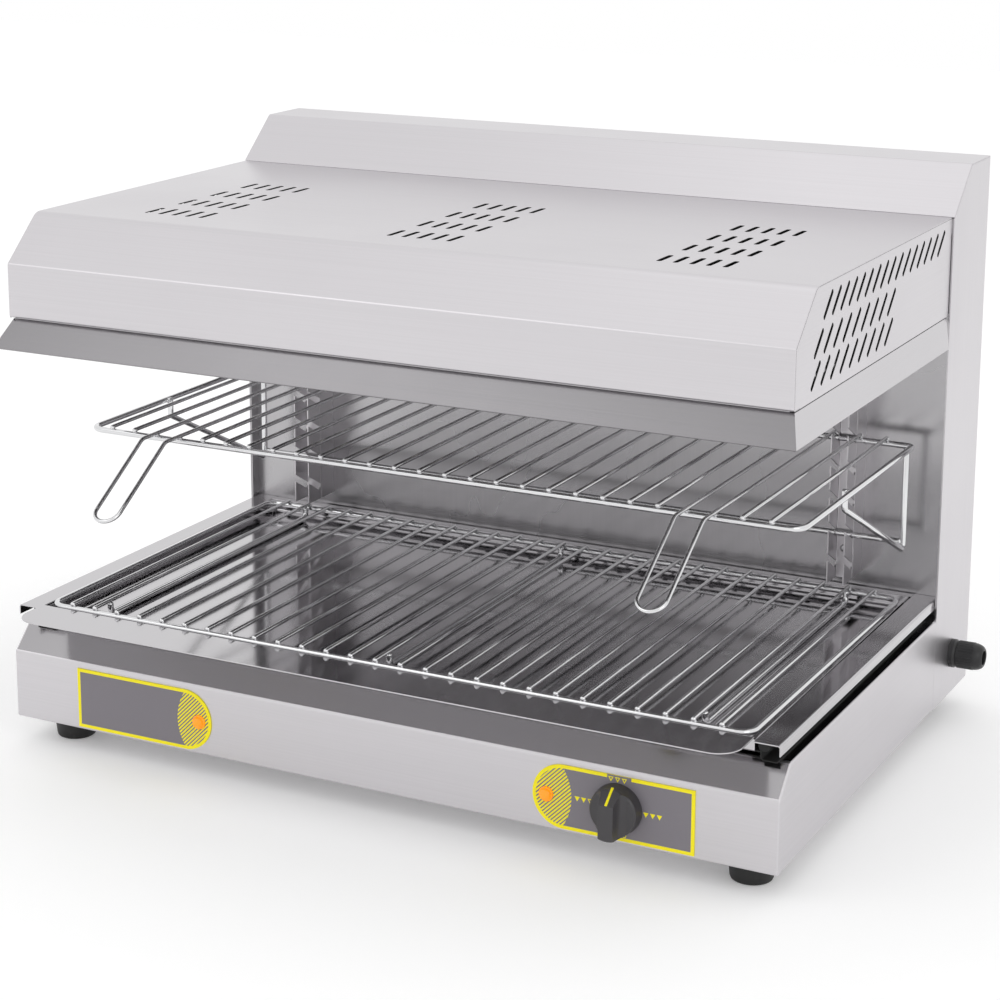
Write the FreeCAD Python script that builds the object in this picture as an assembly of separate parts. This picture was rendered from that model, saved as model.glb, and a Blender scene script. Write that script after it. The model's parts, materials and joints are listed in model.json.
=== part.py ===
"""Electric cheese melter: a stainless base, a rear column and a vented hood over two wire racks.

All sizes are millimetres. X runs across the front, Y from the front to the back, Z up.
While the pieces are built, the origin is the middle of the base's front bottom edge.
The finished pieces are moved so that the origin is the bottom centre of the whole object.
Rods, turned pieces and bends have a few flat sides each, because the wires and vents repeat so often.
"""

import FreeCAD, Part
import math
import os

Vector = FreeCAD.Vector

# Whole appliance
body_half_width = 400.0
body_depth = 552.0
sheet = 1.2
fold = 1.5
sheet_fit = 0.1
edge_play = 0.4
moving_gap = 0.3
overrun = 4.0
same_place = 0.001

# Flat sides of the round pieces and chords of the bends
rod_side_count = 8
bar_side_count = 6
pin_side_count = 8
hole_side_count = 10
turned_side_count = 16
knob_side_count = 20
nut_side_count = 6
slot_side_count = 6
vent_side_count = 4
fold_chord_count = 2
bend_chord_count = 3
corner_chord_count = 6
dome_ring_count = 2

# Base with its slanted face, and the bottom plate
base_height = 94.0
base_slant = 26.0
base_flange = 15.0
bottom_margin = 3.5
bottom_vent_length = 40.0
bottom_vent_width = 5.0
bottom_vent_pitch = 16.0
bottom_vent_count = 5

# Rear column
column_depth = 115.0
column_height = 544.0
column_slope_depth = 52.0
column_slope_rise = 44.7
column_flange = 13.0
wall_recess = 13.0
wall_flange = 22.0
back_vent_length = 60.0
back_vent_width = 6.0
back_vent_pitch = 18.0
back_vent_count = 8
back_vent_margin = 50.0

# Hood over the racks
hood_height = 96.3
hood_inset = 2.0
hood_setback = 10.0
hood_front_height = 52.6
hood_chamfer_depth = 47.3
hood_top_fold = 7.0
hood_flange = 14.0
hood_rear_flange = 16.0
top_vent_length = 30.0
top_vent_width = 4.0
top_vent_pitch = 15.4
top_vent_count = 5
top_vent_row_count = 4
top_vent_row_pitch = 56.9
top_vent_group_pitch = 268.0
top_vent_start = 91.0
cheek_vent_length = 29.5
cheek_vent_width = 4.2
cheek_vent_counts = (16, 9, 9)
cheek_vent_starts = (75.9, 54.9, 49.8)
cheek_vent_drops = (20.2, 49.6, 76.0)
cheek_vent_run_shares = (0.743, 0.45, 0.45)

# Reflector over the heating tubes, and the flared skirt below it
reflector_sheet = 1.5
reflector_depth = 29.0
reflector_slope = 24.0
reflector_mouth_margin = 24.0
reflector_rim = 18.0
skirt_height = 25.9
skirt_inset = 1.3
skirt_setback = 4.9
skirt_flare = 10.0
skirt_rear_gap = 24.0
skirt_flange = 20.0
tube_diameter = 11.0
tube_end_gap = 40.0
tube_count = 4
tube_pitch = 85.0
tube_drop = 16.0
tube_cap_size = 14.0
tube_cap_length = 16.0
holder_height = 28.0
holder_foot = 12.0
guard_rod = 3.0
guard_inset = 12.0
guard_wire_count = 9

# Deck round the crumb tray, and the runners that carry both
deck_inset = 3.0
deck_width = 24.0
deck_setback = 6.0
deck_edge_drop = 10.0
deck_nose_drop = 13.0
deck_rear_width = 12.0
deck_rear_drop = 17.0
deck_hole = 6.0
deck_hole_place = 291.0
runner_gap = 3.0
runner_height = 19.8
runner_flange = 15.5
runner_ledge = 12.5
runner_setback = 12.0
runner_nose_width = 10.0
runner_nose_height = 8.0
runner_nose_length = 5.0
runner_nose_round_share = 0.4

# Crumb tray
tray_side_gap = 1.5
tray_height = 13.0
tray_rise = 0.8
tray_setback = 12.0
tray_rear_gap = 14.0
tray_lip = 39.2
tray_lip_corner = 23.4
tray_fold = 2.5

# Wire racks
frame_rod = 6.0
bar_rod = 4.0
rack_bar_count = 27
rack_corner = 14.0
lower_rack_side_gap = 1.3
lower_rack_front_gap = 0.8
lower_rack_rear_gap = 10.0
lower_rack_rise = 12.0
skid_front_inset = 26.0
skid_rear_inset = 8.0
skid_bend = 8.0
skid_bar_count = 12
upper_rack_inset = 25.5
upper_rack_setback = 103.0
handle_bar_counts = (10, 11)
handle_lead = 26.0
handle_bend = 14.0
handle_length = 106.6
handle_angle = 33.1
brace_reach = 183.0
brace_top_drop = 16.4
brace_bend = 5.0
brace_tail = 8.5

# Slotted ladder channels that carry the upper rack
ladder_width = 18.0
ladder_depth = 26.2
ladder_standoff = 27.3
ladder_foot_gap = 15.0
ladder_head_gap = 11.0
ladder_bar_gap = 2.2
ladder_slot_angle = 30.0
ladder_slot_margin = 14.4
ladder_slot_pitch = 32.5
ladder_slot_count = 6
rack_slot_count = 4
crossbar_slot_count = 1
ladder_screw = 5.0
ladder_screw_head = 8.0
ladder_screw_head_height = 2.6

# Control plates, pilot lamps, knob and switch
plate_height = 60.0
plate_rise = 3.0
plate_length = 154.5
plate_inset = 76.0
plate_thickness = 1.0
lamp_inset = 13.5
lamp_diameter = 13.8
lamp_body_diameter = 11.6
lamp_body_length = 26.0
lamp_collar = 1.6
lamp_dome = 4.4
lamp_nut_size = 17.0
lamp_nut_thickness = 3.0
knob_inset = 82.5
knob_diameter = 45.0
knob_face_diameter = 43.0
knob_skirt_height = 11.5
knob_grip_width = 14.0
knob_height = 26.3
knob_edge = 1.6
knob_wall = 4.0
shaft_diameter = 6.0
shaft_flat = 1.4
shaft_play = 0.05
shaft_tail = 28.0
switch_bush_diameter = 9.6
switch_size = 38.0
switch_depth = 24.0
switch_terminal_width = 6.0
switch_terminal_length = 9.0

# Feet
foot_inset = 39.5
foot_front_inset = 43.6
foot_rear_inset = 44.0
foot_drop = 26.5
foot_diameter = 40.0
foot_taper = 3.0
foot_edge = 2.0
stud_diameter = 8.0
stud_length = 14.0
nut_size = 13.0
nut_height = 6.5

# Cable gland and terminal block
gland_rear_inset = 57.0
gland_rise = 43.0
gland_thread = 20.0
gland_bore = 12.0
gland_flange_diameter = 29.0
gland_flange = 7.0
gland_nut_diameter = 28.0
gland_nut_length = 27.0
gland_nut_dome = 8.0
gland_tail = 14.0
gland_locknut = 4.5
gland_locknut_size = 27.0
block_inset = 62.0
block_length = 52.0
block_width = 22.0
block_height = 18.0
block_groove_depth = 6.0
block_pole_count = 5
block_well = 5.0
block_well_depth = 9.0

# Places worked out from the sizes above
column_front = body_depth - column_depth
wall_front = column_front + wall_recess
hood_top = column_height - column_slope_rise
hood_bottom = hood_top - hood_height
hood_half = body_half_width - hood_inset
hood_depth = column_front - hood_setback
rim_bottom = hood_bottom - reflector_sheet
reflector_ceiling = hood_bottom + reflector_depth
mouth_half = hood_half - reflector_mouth_margin
tube_z = reflector_ceiling - tube_drop
tube_half_length = mouth_half - tube_end_gap
holder_x = tube_half_length + tube_cap_length / 2
skirt_bottom = rim_bottom - skirt_height
skirt_rear = column_front - skirt_rear_gap
deck_height = base_height + runner_height + sheet
deck_half = body_half_width - deck_inset
deck_inner = deck_half - deck_width
deck_rear = wall_front - edge_play
tray_half = deck_inner - tray_side_gap
tray_top = deck_height + tray_rise
tray_base = tray_top - tray_height
tray_floor = tray_base + sheet
tray_rear = wall_front - tray_rear_gap
runner_x = tray_half + runner_gap
lower_half = tray_half - sheet - lower_rack_side_gap - frame_rod / 2
lower_front = tray_setback + sheet + lower_rack_front_gap + frame_rod / 2
lower_rear = tray_rear - sheet - lower_rack_rear_gap - frame_rod / 2
lower_rail = tray_floor + lower_rack_rise
lower_pitch = 2 * lower_half / (rack_bar_count + 1)
bar_lift = frame_rod / 2 + bar_rod / 2
skid_low = tray_floor + moving_gap + frame_rod / 2
upper_half = body_half_width - upper_rack_inset
upper_pitch = 2 * upper_half / (rack_bar_count + 1)
ladder_web = wall_front - ladder_standoff - sheet
ladder_x = handle_bar_counts[1] * upper_pitch + bar_rod / 2 + ladder_bar_gap + ladder_width / 2
ladder_foot = deck_height + ladder_foot_gap
ladder_head = hood_bottom - ladder_head_gap
ladder_first_slot = ladder_foot + ladder_slot_margin
slot_width = frame_rod / math.cos(math.pi / rod_side_count) + 2 * moving_gap
upper_rear = ladder_web - edge_play - frame_rod / 2
upper_rack_height = ladder_first_slot + rack_slot_count * ladder_slot_pitch
crossbar_z = ladder_first_slot + crossbar_slot_count * ladder_slot_pitch
brace_x = upper_half - frame_rod
plate_z = plate_rise + plate_height / 2
plate_outer = body_half_width - plate_inset
plate_inner = plate_outer - plate_length
lamp_x = plate_inner + lamp_inset
lamp_hole = lamp_body_diameter + 2 * moving_gap
knob_x = plate_inner + knob_inset
knob_seat = plate_thickness + moving_gap
switch_hole = switch_bush_diameter + 2 * moving_gap
foot_x = body_half_width - foot_inset
foot_rows = (foot_front_inset, body_depth - foot_rear_inset)
gland_y = body_depth - gland_rear_inset
bottom_top = 2 * sheet
sides = (("left", -1), ("right", 1))

# Main directions
across = Vector(1, 0, 0)
back = Vector(0, 1, 0)
up = Vector(0, 0, 1)


# Shapes that several pieces use

def block(low, high):
    """A box between its lowest and its highest corner."""
    size = high - low
    return Part.makeBox(size.x, size.y, size.z, low)


def fused(shapes):
    """One solid from shapes that overlap or share faces."""
    return shapes[0].fuse(shapes[1:]).removeSplitter()


def on_side(shape, sign):
    """A piece drawn for the right side, kept there or mirrored to the left."""
    return shape if sign > 0 else shape.mirror(Vector(0, 0, 0), across)


def side_view(pairs, x=0.0):
    """Corners of a side view from pairs of Y and Z, at one place across."""
    return [Vector(x, y, z) for y, z in pairs]


def flat_face(corners):
    """A flat face inside a closed run of corners."""
    return Part.Face(Part.makePolygon(corners + corners[:1]))


def rounded_run(corners, radii, chord_count=fold_chord_count):
    """Points along a run of corners, each bend a tangent arc in a few chords."""
    points = [corners[0]]
    for before, corner, after, radius in zip(corners, corners[1:], corners[2:], radii):
        into = (corner - before).normalize()
        out = (after - corner).normalize()
        turn = into.getAngle(out)
        centre = corner + (out - into).normalize() * (radius / math.cos(turn / 2))
        arm = corner - into * (radius * math.tan(turn / 2)) - centre
        for step in range(chord_count + 1):
            spin = FreeCAD.Rotation(into.cross(out), math.degrees(turn) * step / chord_count)
            points.append(centre + spin.multVec(arm))
    points.append(corners[-1])
    distinct = points[:1]
    for point in points[1:]:
        if (point - distinct[-1]).Length > same_place:
            distinct.append(point)
    return distinct


def moved_run(corners, width, distance):
    """A run of corners moved sideways by a distance, with mitred corners."""
    normals = []
    for start, end in zip(corners, corners[1:]):
        normals.append((end - start).cross(width).normalize())
    moved = [corners[0] + normals[0] * distance]
    for corner, before, after in zip(corners[1:], normals, normals[1:]):
        moved.append(corner + (before + after) * (distance / (1 + before.dot(after))))
    moved.append(corners[-1] + normals[-1] * distance)
    return moved


def folded_sheet(corners, width, thickness, folds):
    """A sheet folded along a run of outer corners and drawn out along a width.

    The sheet lies on the side of the run that the run's direction crossed with the width points to.
    Each fold is the radius on the inside of that fold.
    """
    outer_radii = []
    inner_radii = []
    for before, corner, after, radius in zip(corners, corners[1:], corners[2:], folds):
        normal = (corner - before).cross(width)
        inward = normal.dot(after - corner) > 0
        outer_radii.append(radius + thickness if inward else radius)
        inner_radii.append(radius if inward else radius + thickness)
    outer = rounded_run(corners, outer_radii)
    inner = rounded_run(moved_run(corners, width, thickness), inner_radii)
    return flat_face(outer + inner[::-1]).extrude(width)


def ring(middle, axis, size, side_count):
    """Corners of a regular polygon about an axis, its size across the flats."""
    axis = Vector(axis).normalize()
    first_flat = up if abs(axis.dot(up)) < same_place else across
    radius = size / 2 / math.cos(math.pi / side_count)
    corners = []
    for step in range(side_count):
        spin = FreeCAD.Rotation(axis, 360 * (step + 1 / 2) / side_count)
        corners.append(middle + spin.multVec(first_flat) * radius)
    return corners


def skin(rings):
    """The solid inside a run of rings with as many corners each, closed at both ends."""
    faces = [flat_face(rings[0]), flat_face(rings[-1])]
    for lower, upper in zip(rings, rings[1:]):
        for near, far, far_up, near_up in zip(lower, lower[1:] + lower[:1], upper[1:] + upper[:1], upper):
            faces.append(flat_face([near, far, far_up, near_up]))
    solid = Part.Solid(Part.Shell(faces))
    if solid.Volume < 0:
        solid.reverse()
    return solid


def turned(pairs, foot, axis, side_count=turned_side_count):
    """A turned solid with flat sides, from pairs of radius and height over its foot."""
    return skin([ring(foot + axis * height, axis, 2 * radius, side_count) for radius, height in pairs])


def straight_rod(start, end, size, side_count):
    """A straight rod with flat sides, from one end to the other."""
    return flat_face(ring(start, end - start, size, side_count)).extrude(end - start)


def bent_rod(corners, size, radii, side_count=rod_side_count):
    """A rod with flat sides along a run of corners, mitred at the chords of its bends."""
    points = rounded_run(corners, radii, bend_chord_count)
    runs = [(end - start).normalize() for start, end in zip(points, points[1:])]
    rings = [ring(points[0], runs[0], size, side_count)]
    for point, into, out in zip(points[1:], runs, runs[1:] + runs[-1:]):
        mitre = into + out
        share = into.dot(mitre)
        rings.append([corner + into * ((point - corner).dot(mitre) / share) for corner in rings[-1]])
    return skin(rings)


def slot_cutter(start, end, through, width, side_count):
    """The space of a slot right through along a vector, half a polygon round each end's centre."""
    along = (end - start).normalize()
    side = along.cross(through).normalize()
    radius = width / 2 / math.cos(math.pi / side_count)
    arms = []
    for step in range(side_count // 2):
        turn = math.pi * (2 * step + 1) / side_count
        arms.append(side * (radius * math.cos(turn)) + along * (radius * math.sin(turn)))
    shift = through / 2
    corners = [end - shift + arm for arm in arms] + [start - shift - arm for arm in arms]
    return flat_face(corners).extrude(through)


def vent_cutter(centre, along, through, length, width):
    """The space of a vent about its centre, right through along a vector."""
    reach = Vector(along).normalize() * ((length - width) / 2)
    return slot_cutter(centre - reach, centre + reach, through, width, vent_side_count)


def drilled(shape, centre, axis, size):
    """A shape with a hole through one sheet at a centre."""
    reach = axis * overrun
    return shape.cut(straight_rod(centre - reach, centre + reach, size, hole_side_count))


def hexagon_nut(foot, height, size, bore, bore_side_count):
    """A hexagon nut standing on a face, with a height vector and its size across the flats."""
    top = foot + height
    return straight_rod(foot, top, size, nut_side_count).cut(straight_rod(foot, top, bore, bore_side_count))


# Base

def base_shell():
    """Front, slanted face and top from one sheet, with both sides welded in."""
    corners = side_view([
        (base_flange, 0),
        (0, 0),
        (0, base_height - base_slant),
        (base_slant, base_height),
        (column_front, base_height),
    ], -body_half_width)
    shapes = [folded_sheet(corners, across * (2 * body_half_width), sheet, [fold, fold, fold])]
    for name, sign in sides:
        inside = sign * (body_half_width - sheet)
        outline = rounded_run(side_view([
            (column_front, 0),
            (0, 0),
            (0, base_height - base_slant),
            (base_slant, base_height),
            (column_front, base_height),
        ], inside), [fold + sheet, fold + sheet, fold + sheet])
        shapes.append(flat_face(outline).extrude(across * (sign * sheet)))
        low = Vector(body_half_width - base_flange, base_flange, 0)
        high = Vector(body_half_width - sheet / 2, column_front, sheet)
        shapes.append(on_side(block(low, high), sign))
    tongue_half = body_half_width - sheet - sheet_fit
    tongue_low = Vector(-tongue_half, column_front - overrun, base_height - sheet)
    shapes.append(block(tongue_low, Vector(tongue_half, wall_front + sheet, base_height)))
    shell = fused(shapes)
    for name, sign in sides:
        shell = drilled(shell, Vector(sign * lamp_x, 0, plate_z), back, lamp_hole)
    return drilled(shell, Vector(knob_x, 0, plate_z), back, switch_hole)


def base_bottom_plate():
    """Flat plate on the inward flanges, with holes for the feet and rows of vents."""
    half = body_half_width - bottom_margin
    plate = block(Vector(-half, bottom_margin, sheet), Vector(half, body_depth - bottom_margin, bottom_top))
    for name, seat in foot_places():
        reach = up * overrun
        hole = stud_diameter + 2 * moving_gap
        plate = plate.cut(straight_rod(seat - reach, seat + reach, hole, pin_side_count))
    cutters = []
    for name, sign in sides:
        for step in range(bottom_vent_count):
            offset = (step - (bottom_vent_count - 1) / 2) * bottom_vent_pitch
            centre = Vector(sign * body_half_width / 2 + offset, body_depth / 2, sheet)
            cutters.append(vent_cutter(centre, back, up * overrun, bottom_vent_length, bottom_vent_width))
    return plate.cut(cutters)


# Rear column

def column_top_run(drop):
    """The column's sloped top line, lowered into the sheet by a drop."""
    run = side_view([
        (column_front, hood_top),
        (column_front + column_slope_depth, column_height),
        (body_depth, column_height),
    ], -body_half_width)
    return moved_run(run, across, drop)


def column_side(sign):
    """Side of the column with a rear flange and a bottom flange, bored for the gland on the right."""
    inside = body_half_width - sheet
    rear = body_depth - sheet
    shoulder = column_top_run(sheet)[1]
    corners = side_view([
        (rear, shoulder.z),
        (shoulder.y, shoulder.z),
        (column_front, hood_top - 2 * sheet),
    ], inside)
    outline = rounded_run(corners, [fold + sheet]) + side_view([(column_front, 0), (rear, 0)], inside)
    side = flat_face(outline).extrude(across * sheet)
    flange_low = Vector(inside - column_flange, rear - sheet, bottom_top + sheet)
    rear_flange = block(flange_low, Vector(inside, rear, shoulder.z - sheet))
    foot_low = Vector(inside - column_flange, column_front, 0)
    foot_flange = block(foot_low, Vector(inside, rear, sheet))
    piece = on_side(fused([side, rear_flange, foot_flange]), sign)
    if sign > 0:
        place = Vector(body_half_width, gland_y, gland_rise)
        piece = drilled(piece, place, across, gland_thread + 2 * sheet_fit)
    return piece


def column_back_panel():
    """Flat back with two rows of upright vents near its top."""
    low = Vector(-body_half_width, body_depth - sheet, 0)
    panel = block(low, Vector(body_half_width, body_depth, column_height - sheet))
    cutters = []
    height = column_height - back_vent_margin - back_vent_length / 2
    for name, sign in sides:
        for step in range(back_vent_count):
            offset = (step - (back_vent_count - 1) / 2) * back_vent_pitch
            centre = Vector(sign * body_half_width / 2 + offset, body_depth, height)
            cutters.append(vent_cutter(centre, up, back * overrun, back_vent_length, back_vent_width))
    return panel.cut(cutters)


def column_top_cover():
    """Sloped and flat top of the column."""
    return folded_sheet(column_top_run(0), across * (2 * body_half_width), sheet, [fold])


def cavity_back_wall():
    """Recessed back of the cooking space, stepped forward behind the hood, with side flanges."""
    half = body_half_width - sheet - sheet_fit
    corners = side_view([
        (wall_front - wall_flange, base_height + sheet),
        (wall_front, base_height + sheet),
        (wall_front, hood_bottom + sheet),
        (column_front, hood_bottom + sheet),
        (column_front, hood_top - sheet - edge_play),
    ], -half)
    shapes = [folded_sheet(corners, across * (2 * half), sheet, [fold, fold, fold])]
    for name, sign in sides:
        low = Vector(half - sheet, column_front + edge_play, base_height + sheet)
        shapes.append(on_side(block(low, Vector(half, wall_front + sheet / 2, hood_bottom)), sign))
    return fused(shapes)


# Hood

def hood_run():
    """Corners of the hood's outside from the front's bottom edge to the rear flange."""
    return [
        (hood_setback, hood_bottom),
        (hood_setback, hood_bottom + hood_front_height),
        (hood_setback + hood_chamfer_depth, hood_top),
        (column_front, hood_top),
        (column_front, hood_top - hood_rear_flange),
    ]


def hood_cover():
    """Folded cover with a bottom flange and three groups of vents in its top."""
    corners = side_view(hood_run(), -hood_half)
    cover = folded_sheet(corners, across * (2 * hood_half), sheet, [fold, hood_top_fold, fold])
    flange_half = hood_half - sheet - sheet_fit
    flange_low = Vector(-flange_half, hood_setback + sheet / 2, hood_bottom)
    flange_high = Vector(flange_half, hood_setback + hood_flange, hood_bottom + sheet)
    cover = fused([cover, block(flange_low, flange_high)])
    cutters = []
    for group in (-1, 0, 1):
        for row in range(top_vent_row_count):
            y = hood_setback + top_vent_start + row * top_vent_row_pitch + top_vent_length / 2
            for step in range(top_vent_count):
                x = group * top_vent_group_pitch + (step - (top_vent_count - 1) / 2) * top_vent_pitch
                centre = Vector(x, y, hood_top)
                cutters.append(vent_cutter(centre, back, up * overrun, top_vent_length, top_vent_width))
    return cover.cut(cutters)


def hood_cheek(sign):
    """End plate of the hood with a bottom flange and three rows of slanted vents."""
    inside = hood_half - sheet
    run = moved_run(side_view(hood_run(), inside), across, sheet)
    bottom_rear = Vector(inside, column_front - sheet, hood_bottom)
    outline = rounded_run(run[:-1] + [bottom_rear], [fold, hood_top_fold, fold + sheet])
    plate = flat_face(outline).extrude(across * sheet)
    low = Vector(hood_half - hood_flange, hood_setback + hood_flange + sheet_fit, hood_bottom)
    flange = block(low, Vector(inside + sheet / 2, column_front - 2 * sheet, hood_bottom + sheet))
    cheek = fused([plate, flange])
    cutters = []
    rows = zip(cheek_vent_counts, cheek_vent_starts, cheek_vent_drops, cheek_vent_run_shares)
    for count, start, drop, share in rows:
        pitch = hood_depth * share / (count - 1)
        for step in range(count):
            centre = Vector(hood_half, hood_setback + start + step * pitch, hood_top - drop)
            through = across * overrun
            cutters.append(vent_cutter(centre, back + up, through, cheek_vent_length, cheek_vent_width))
    return on_side(cheek.cut(cutters), sign)


# Reflector

def rectangle(half, front, rear, height):
    """Corners of a level rectangle from its half width, its front, its rear and its height."""
    return [
        Vector(-half, front, height),
        Vector(half, front, height),
        Vector(half, rear, height),
        Vector(-half, rear, height),
    ]


def reflector_skirt():
    """Flared frame below the hood, open at the rear, with an inward top flange."""
    top_half = hood_half - skirt_inset
    top_front = hood_setback + skirt_setback
    low_half = top_half + skirt_flare
    low_front = top_front - skirt_flare
    lean = skirt_flare / skirt_height
    wall = sheet * math.sqrt(1 + lean * lean)
    outside = skin([
        rectangle(top_half, top_front, skirt_rear, rim_bottom),
        rectangle(low_half, low_front, skirt_rear, skirt_bottom),
    ])
    inside = skin([
        rectangle(top_half - wall, top_front + wall, skirt_rear + overrun, rim_bottom),
        rectangle(low_half - wall, low_front + wall, skirt_rear + overrun, skirt_bottom),
    ])
    flange_low = Vector(-top_half + sheet, top_front + sheet, rim_bottom - sheet)
    flange = block(flange_low, Vector(top_half - sheet, skirt_rear, rim_bottom))
    hole_half = top_half - skirt_flange
    hole_low = Vector(-hole_half, top_front + skirt_flange, rim_bottom - overrun)
    hole = block(hole_low, Vector(hole_half, skirt_rear + overrun, rim_bottom + overrun))
    return fused([outside.cut(inside), flange.cut(hole)])


def reflector_pan():
    """Shallow inverted pan whose rim is held between the hood's flanges and the skirt."""
    front = hood_setback + reflector_mouth_margin
    rear = column_front - hood_flange
    slope = reflector_slope
    skin_depth = reflector_sheet
    inside = skin([
        rectangle(mouth_half, front, rear, rim_bottom),
        rectangle(mouth_half - slope, front + slope, rear - slope, reflector_ceiling),
    ])
    outside = skin([
        rectangle(mouth_half + skin_depth, front - skin_depth, rear + skin_depth, rim_bottom),
        rectangle(mouth_half + skin_depth - slope, front - skin_depth + slope, rear + skin_depth - slope,
                  reflector_ceiling + skin_depth),
    ])
    rim_low = Vector(-mouth_half - reflector_rim, front - reflector_rim, rim_bottom)
    rim_high = Vector(mouth_half + reflector_rim, column_front - edge_play - 2 * sheet, hood_bottom)
    return fused([outside, block(rim_low, rim_high)]).cut(inside)


def tube_rows():
    """Places of the heating tubes from front to back."""
    middle = (hood_setback + column_front - hood_flange + reflector_mouth_margin) / 2
    return [middle + (step - (tube_count - 1) / 2) * tube_pitch for step in range(tube_count)]


def heating_tube(y):
    """A straight quartz tube across the reflector."""
    start = Vector(-tube_half_length, y, tube_z)
    return straight_rod(start, start + across * (2 * tube_half_length), tube_diameter, pin_side_count)


def heating_tube_caps():
    """Ceramic caps on the ends of all tubes."""
    caps = []
    length = across * tube_cap_length
    for y in tube_rows():
        foot = Vector(tube_half_length, y, tube_z)
        for name, sign in sides:
            caps.append(on_side(straight_rod(foot, foot + length, tube_cap_size, pin_side_count), sign))
    return Part.makeCompound(caps)


def tube_holder(sign):
    """Angle strip under the reflector's ceiling with a seat for each tube's cap."""
    rows = tube_rows()
    front = rows[0] - tube_pitch / 3
    width = back * (rows[-1] - rows[0] + 2 * tube_pitch / 3)
    corners = [
        Vector(holder_x, front, reflector_ceiling - holder_height),
        Vector(holder_x, front, reflector_ceiling),
        Vector(holder_x - holder_foot, front, reflector_ceiling),
    ]
    strip = folded_sheet(corners, width, sheet, [fold])
    cutters = []
    seat_size = tube_cap_size + 2 * sheet_fit
    for y in rows:
        middle = Vector(holder_x, y, tube_z)
        reach = across * overrun
        cutters.append(straight_rod(middle - reach, middle + reach, seat_size, pin_side_count))
    return on_side(strip.cut(cutters), sign)


def element_guard():
    """Wire guard under the tubes, its frame against the skirt's flange."""
    height = rim_bottom - sheet - guard_rod / 2
    half = mouth_half + guard_inset
    front = hood_setback + reflector_mouth_margin - guard_inset + guard_rod
    rear = skirt_rear - guard_rod
    frame = bent_rod([
        Vector(-half, rear, height),
        Vector(-half, front, height),
        Vector(half, front, height),
        Vector(half, rear, height),
    ], guard_rod, [2 * guard_rod, 2 * guard_rod], bar_side_count)
    rail = straight_rod(Vector(-half, rear, height), Vector(half, rear, height), guard_rod, bar_side_count)
    drop = up * guard_rod
    wires = []
    for step in range(guard_wire_count):
        x = half * (2 * (step + 1) / (guard_wire_count + 1) - 1)
        start = Vector(x, front - guard_rod / 2, height) - drop
        end = Vector(x, rear + guard_rod / 2, height) - drop
        wires.append(straight_rod(start, end, guard_rod, bar_side_count))
    return fused([frame, rail] + wires)


# Deck and runners

def deck_side(sign):
    """Strip beside the crumb tray, folded down outside and closed at its front end."""
    corners = [
        Vector(deck_half, deck_setback, deck_height - deck_edge_drop),
        Vector(deck_half, deck_setback, deck_height),
        Vector(deck_inner, deck_setback, deck_height),
    ]
    strip = folded_sheet(corners, back * (deck_rear - deck_setback), sheet, [fold])
    nose_low = Vector(deck_inner + fold, deck_setback, deck_height - deck_nose_drop)
    nose_high = Vector(deck_half - sheet / 2, deck_setback + sheet, deck_height - sheet / 2)
    piece = fused([strip, block(nose_low, nose_high)])
    if sign < 0:
        hole_place = Vector(deck_half - deck_width / 4, deck_hole_place, deck_height)
        piece = drilled(piece, hole_place, up, deck_hole)
    return on_side(piece, sign)


def deck_rear_strip():
    """Angle on the back wall that closes the deck behind the tray."""
    half = deck_inner - sheet_fit
    corners = side_view([
        (wall_front - deck_rear_width, deck_height),
        (wall_front, deck_height),
        (wall_front, deck_height - deck_rear_drop),
    ], -half)
    return folded_sheet(corners, across * (2 * half), sheet, [fold])


def tray_runner(sign):
    """Channel between the base and the deck, with a ledge for the tray and a rounded nose."""
    front = deck_setback + runner_setback
    rear = wall_front - wall_flange - edge_play
    top = deck_height - sheet
    corners = [
        Vector(runner_x + runner_flange, front, top),
        Vector(runner_x, front, top),
        Vector(runner_x, front, base_height),
        Vector(runner_x + runner_flange, front, base_height),
    ]
    channel = folded_sheet(corners, back * (rear - front), sheet, [fold, fold])
    ledge_top = tray_base - moving_gap
    ledge_low = Vector(runner_x - runner_ledge, front, ledge_top - sheet)
    ledge = block(ledge_low, Vector(runner_x + sheet / 2, rear, ledge_top))
    nose_front = front - runner_nose_length
    nose_top = top - sheet
    nose_low = nose_top - runner_nose_height
    nose_outer = runner_x + runner_nose_width
    nose_round = runner_nose_width * runner_nose_round_share
    outline = rounded_run([
        Vector(runner_x, nose_front, nose_top),
        Vector(runner_x, nose_front, nose_low),
        Vector(nose_outer, nose_front, nose_low),
        Vector(nose_outer, nose_front, nose_top),
    ], [nose_round, nose_round])
    nose = flat_face(outline).extrude(back * (runner_nose_length + sheet))
    return on_side(fused([channel, ledge, nose]), sign)


# Crumb tray

def crumb_tray():
    """Folded pan with a wide lip in front whose corners are rounded."""
    lip_front = -tray_lip
    corners = side_view([
        (tray_rear, tray_top),
        (tray_rear, tray_base),
        (tray_setback, tray_base),
        (tray_setback, tray_top - sheet),
        (lip_front, tray_top - sheet),
    ], -tray_half)
    shapes = [folded_sheet(corners, across * (2 * tray_half), sheet, [tray_fold, tray_fold, fold])]
    for name, sign in sides:
        outline = rounded_run(side_view([
            (tray_rear, tray_top),
            (tray_rear, tray_base),
            (tray_setback, tray_base),
            (tray_setback, tray_top),
        ], sign * (tray_half - sheet)), [tray_fold + sheet, tray_fold + sheet])
        shapes.append(flat_face(outline).extrude(across * (sign * sheet)))
    plan = rounded_run([
        Vector(-tray_half, tray_rear, tray_base),
        Vector(-tray_half, lip_front, tray_base),
        Vector(tray_half, lip_front, tray_base),
        Vector(tray_half, tray_rear, tray_base),
    ], [tray_lip_corner, tray_lip_corner], corner_chord_count)
    return fused(shapes).common(flat_face(plan).extrude(up * tray_height))


# Lower rack

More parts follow.
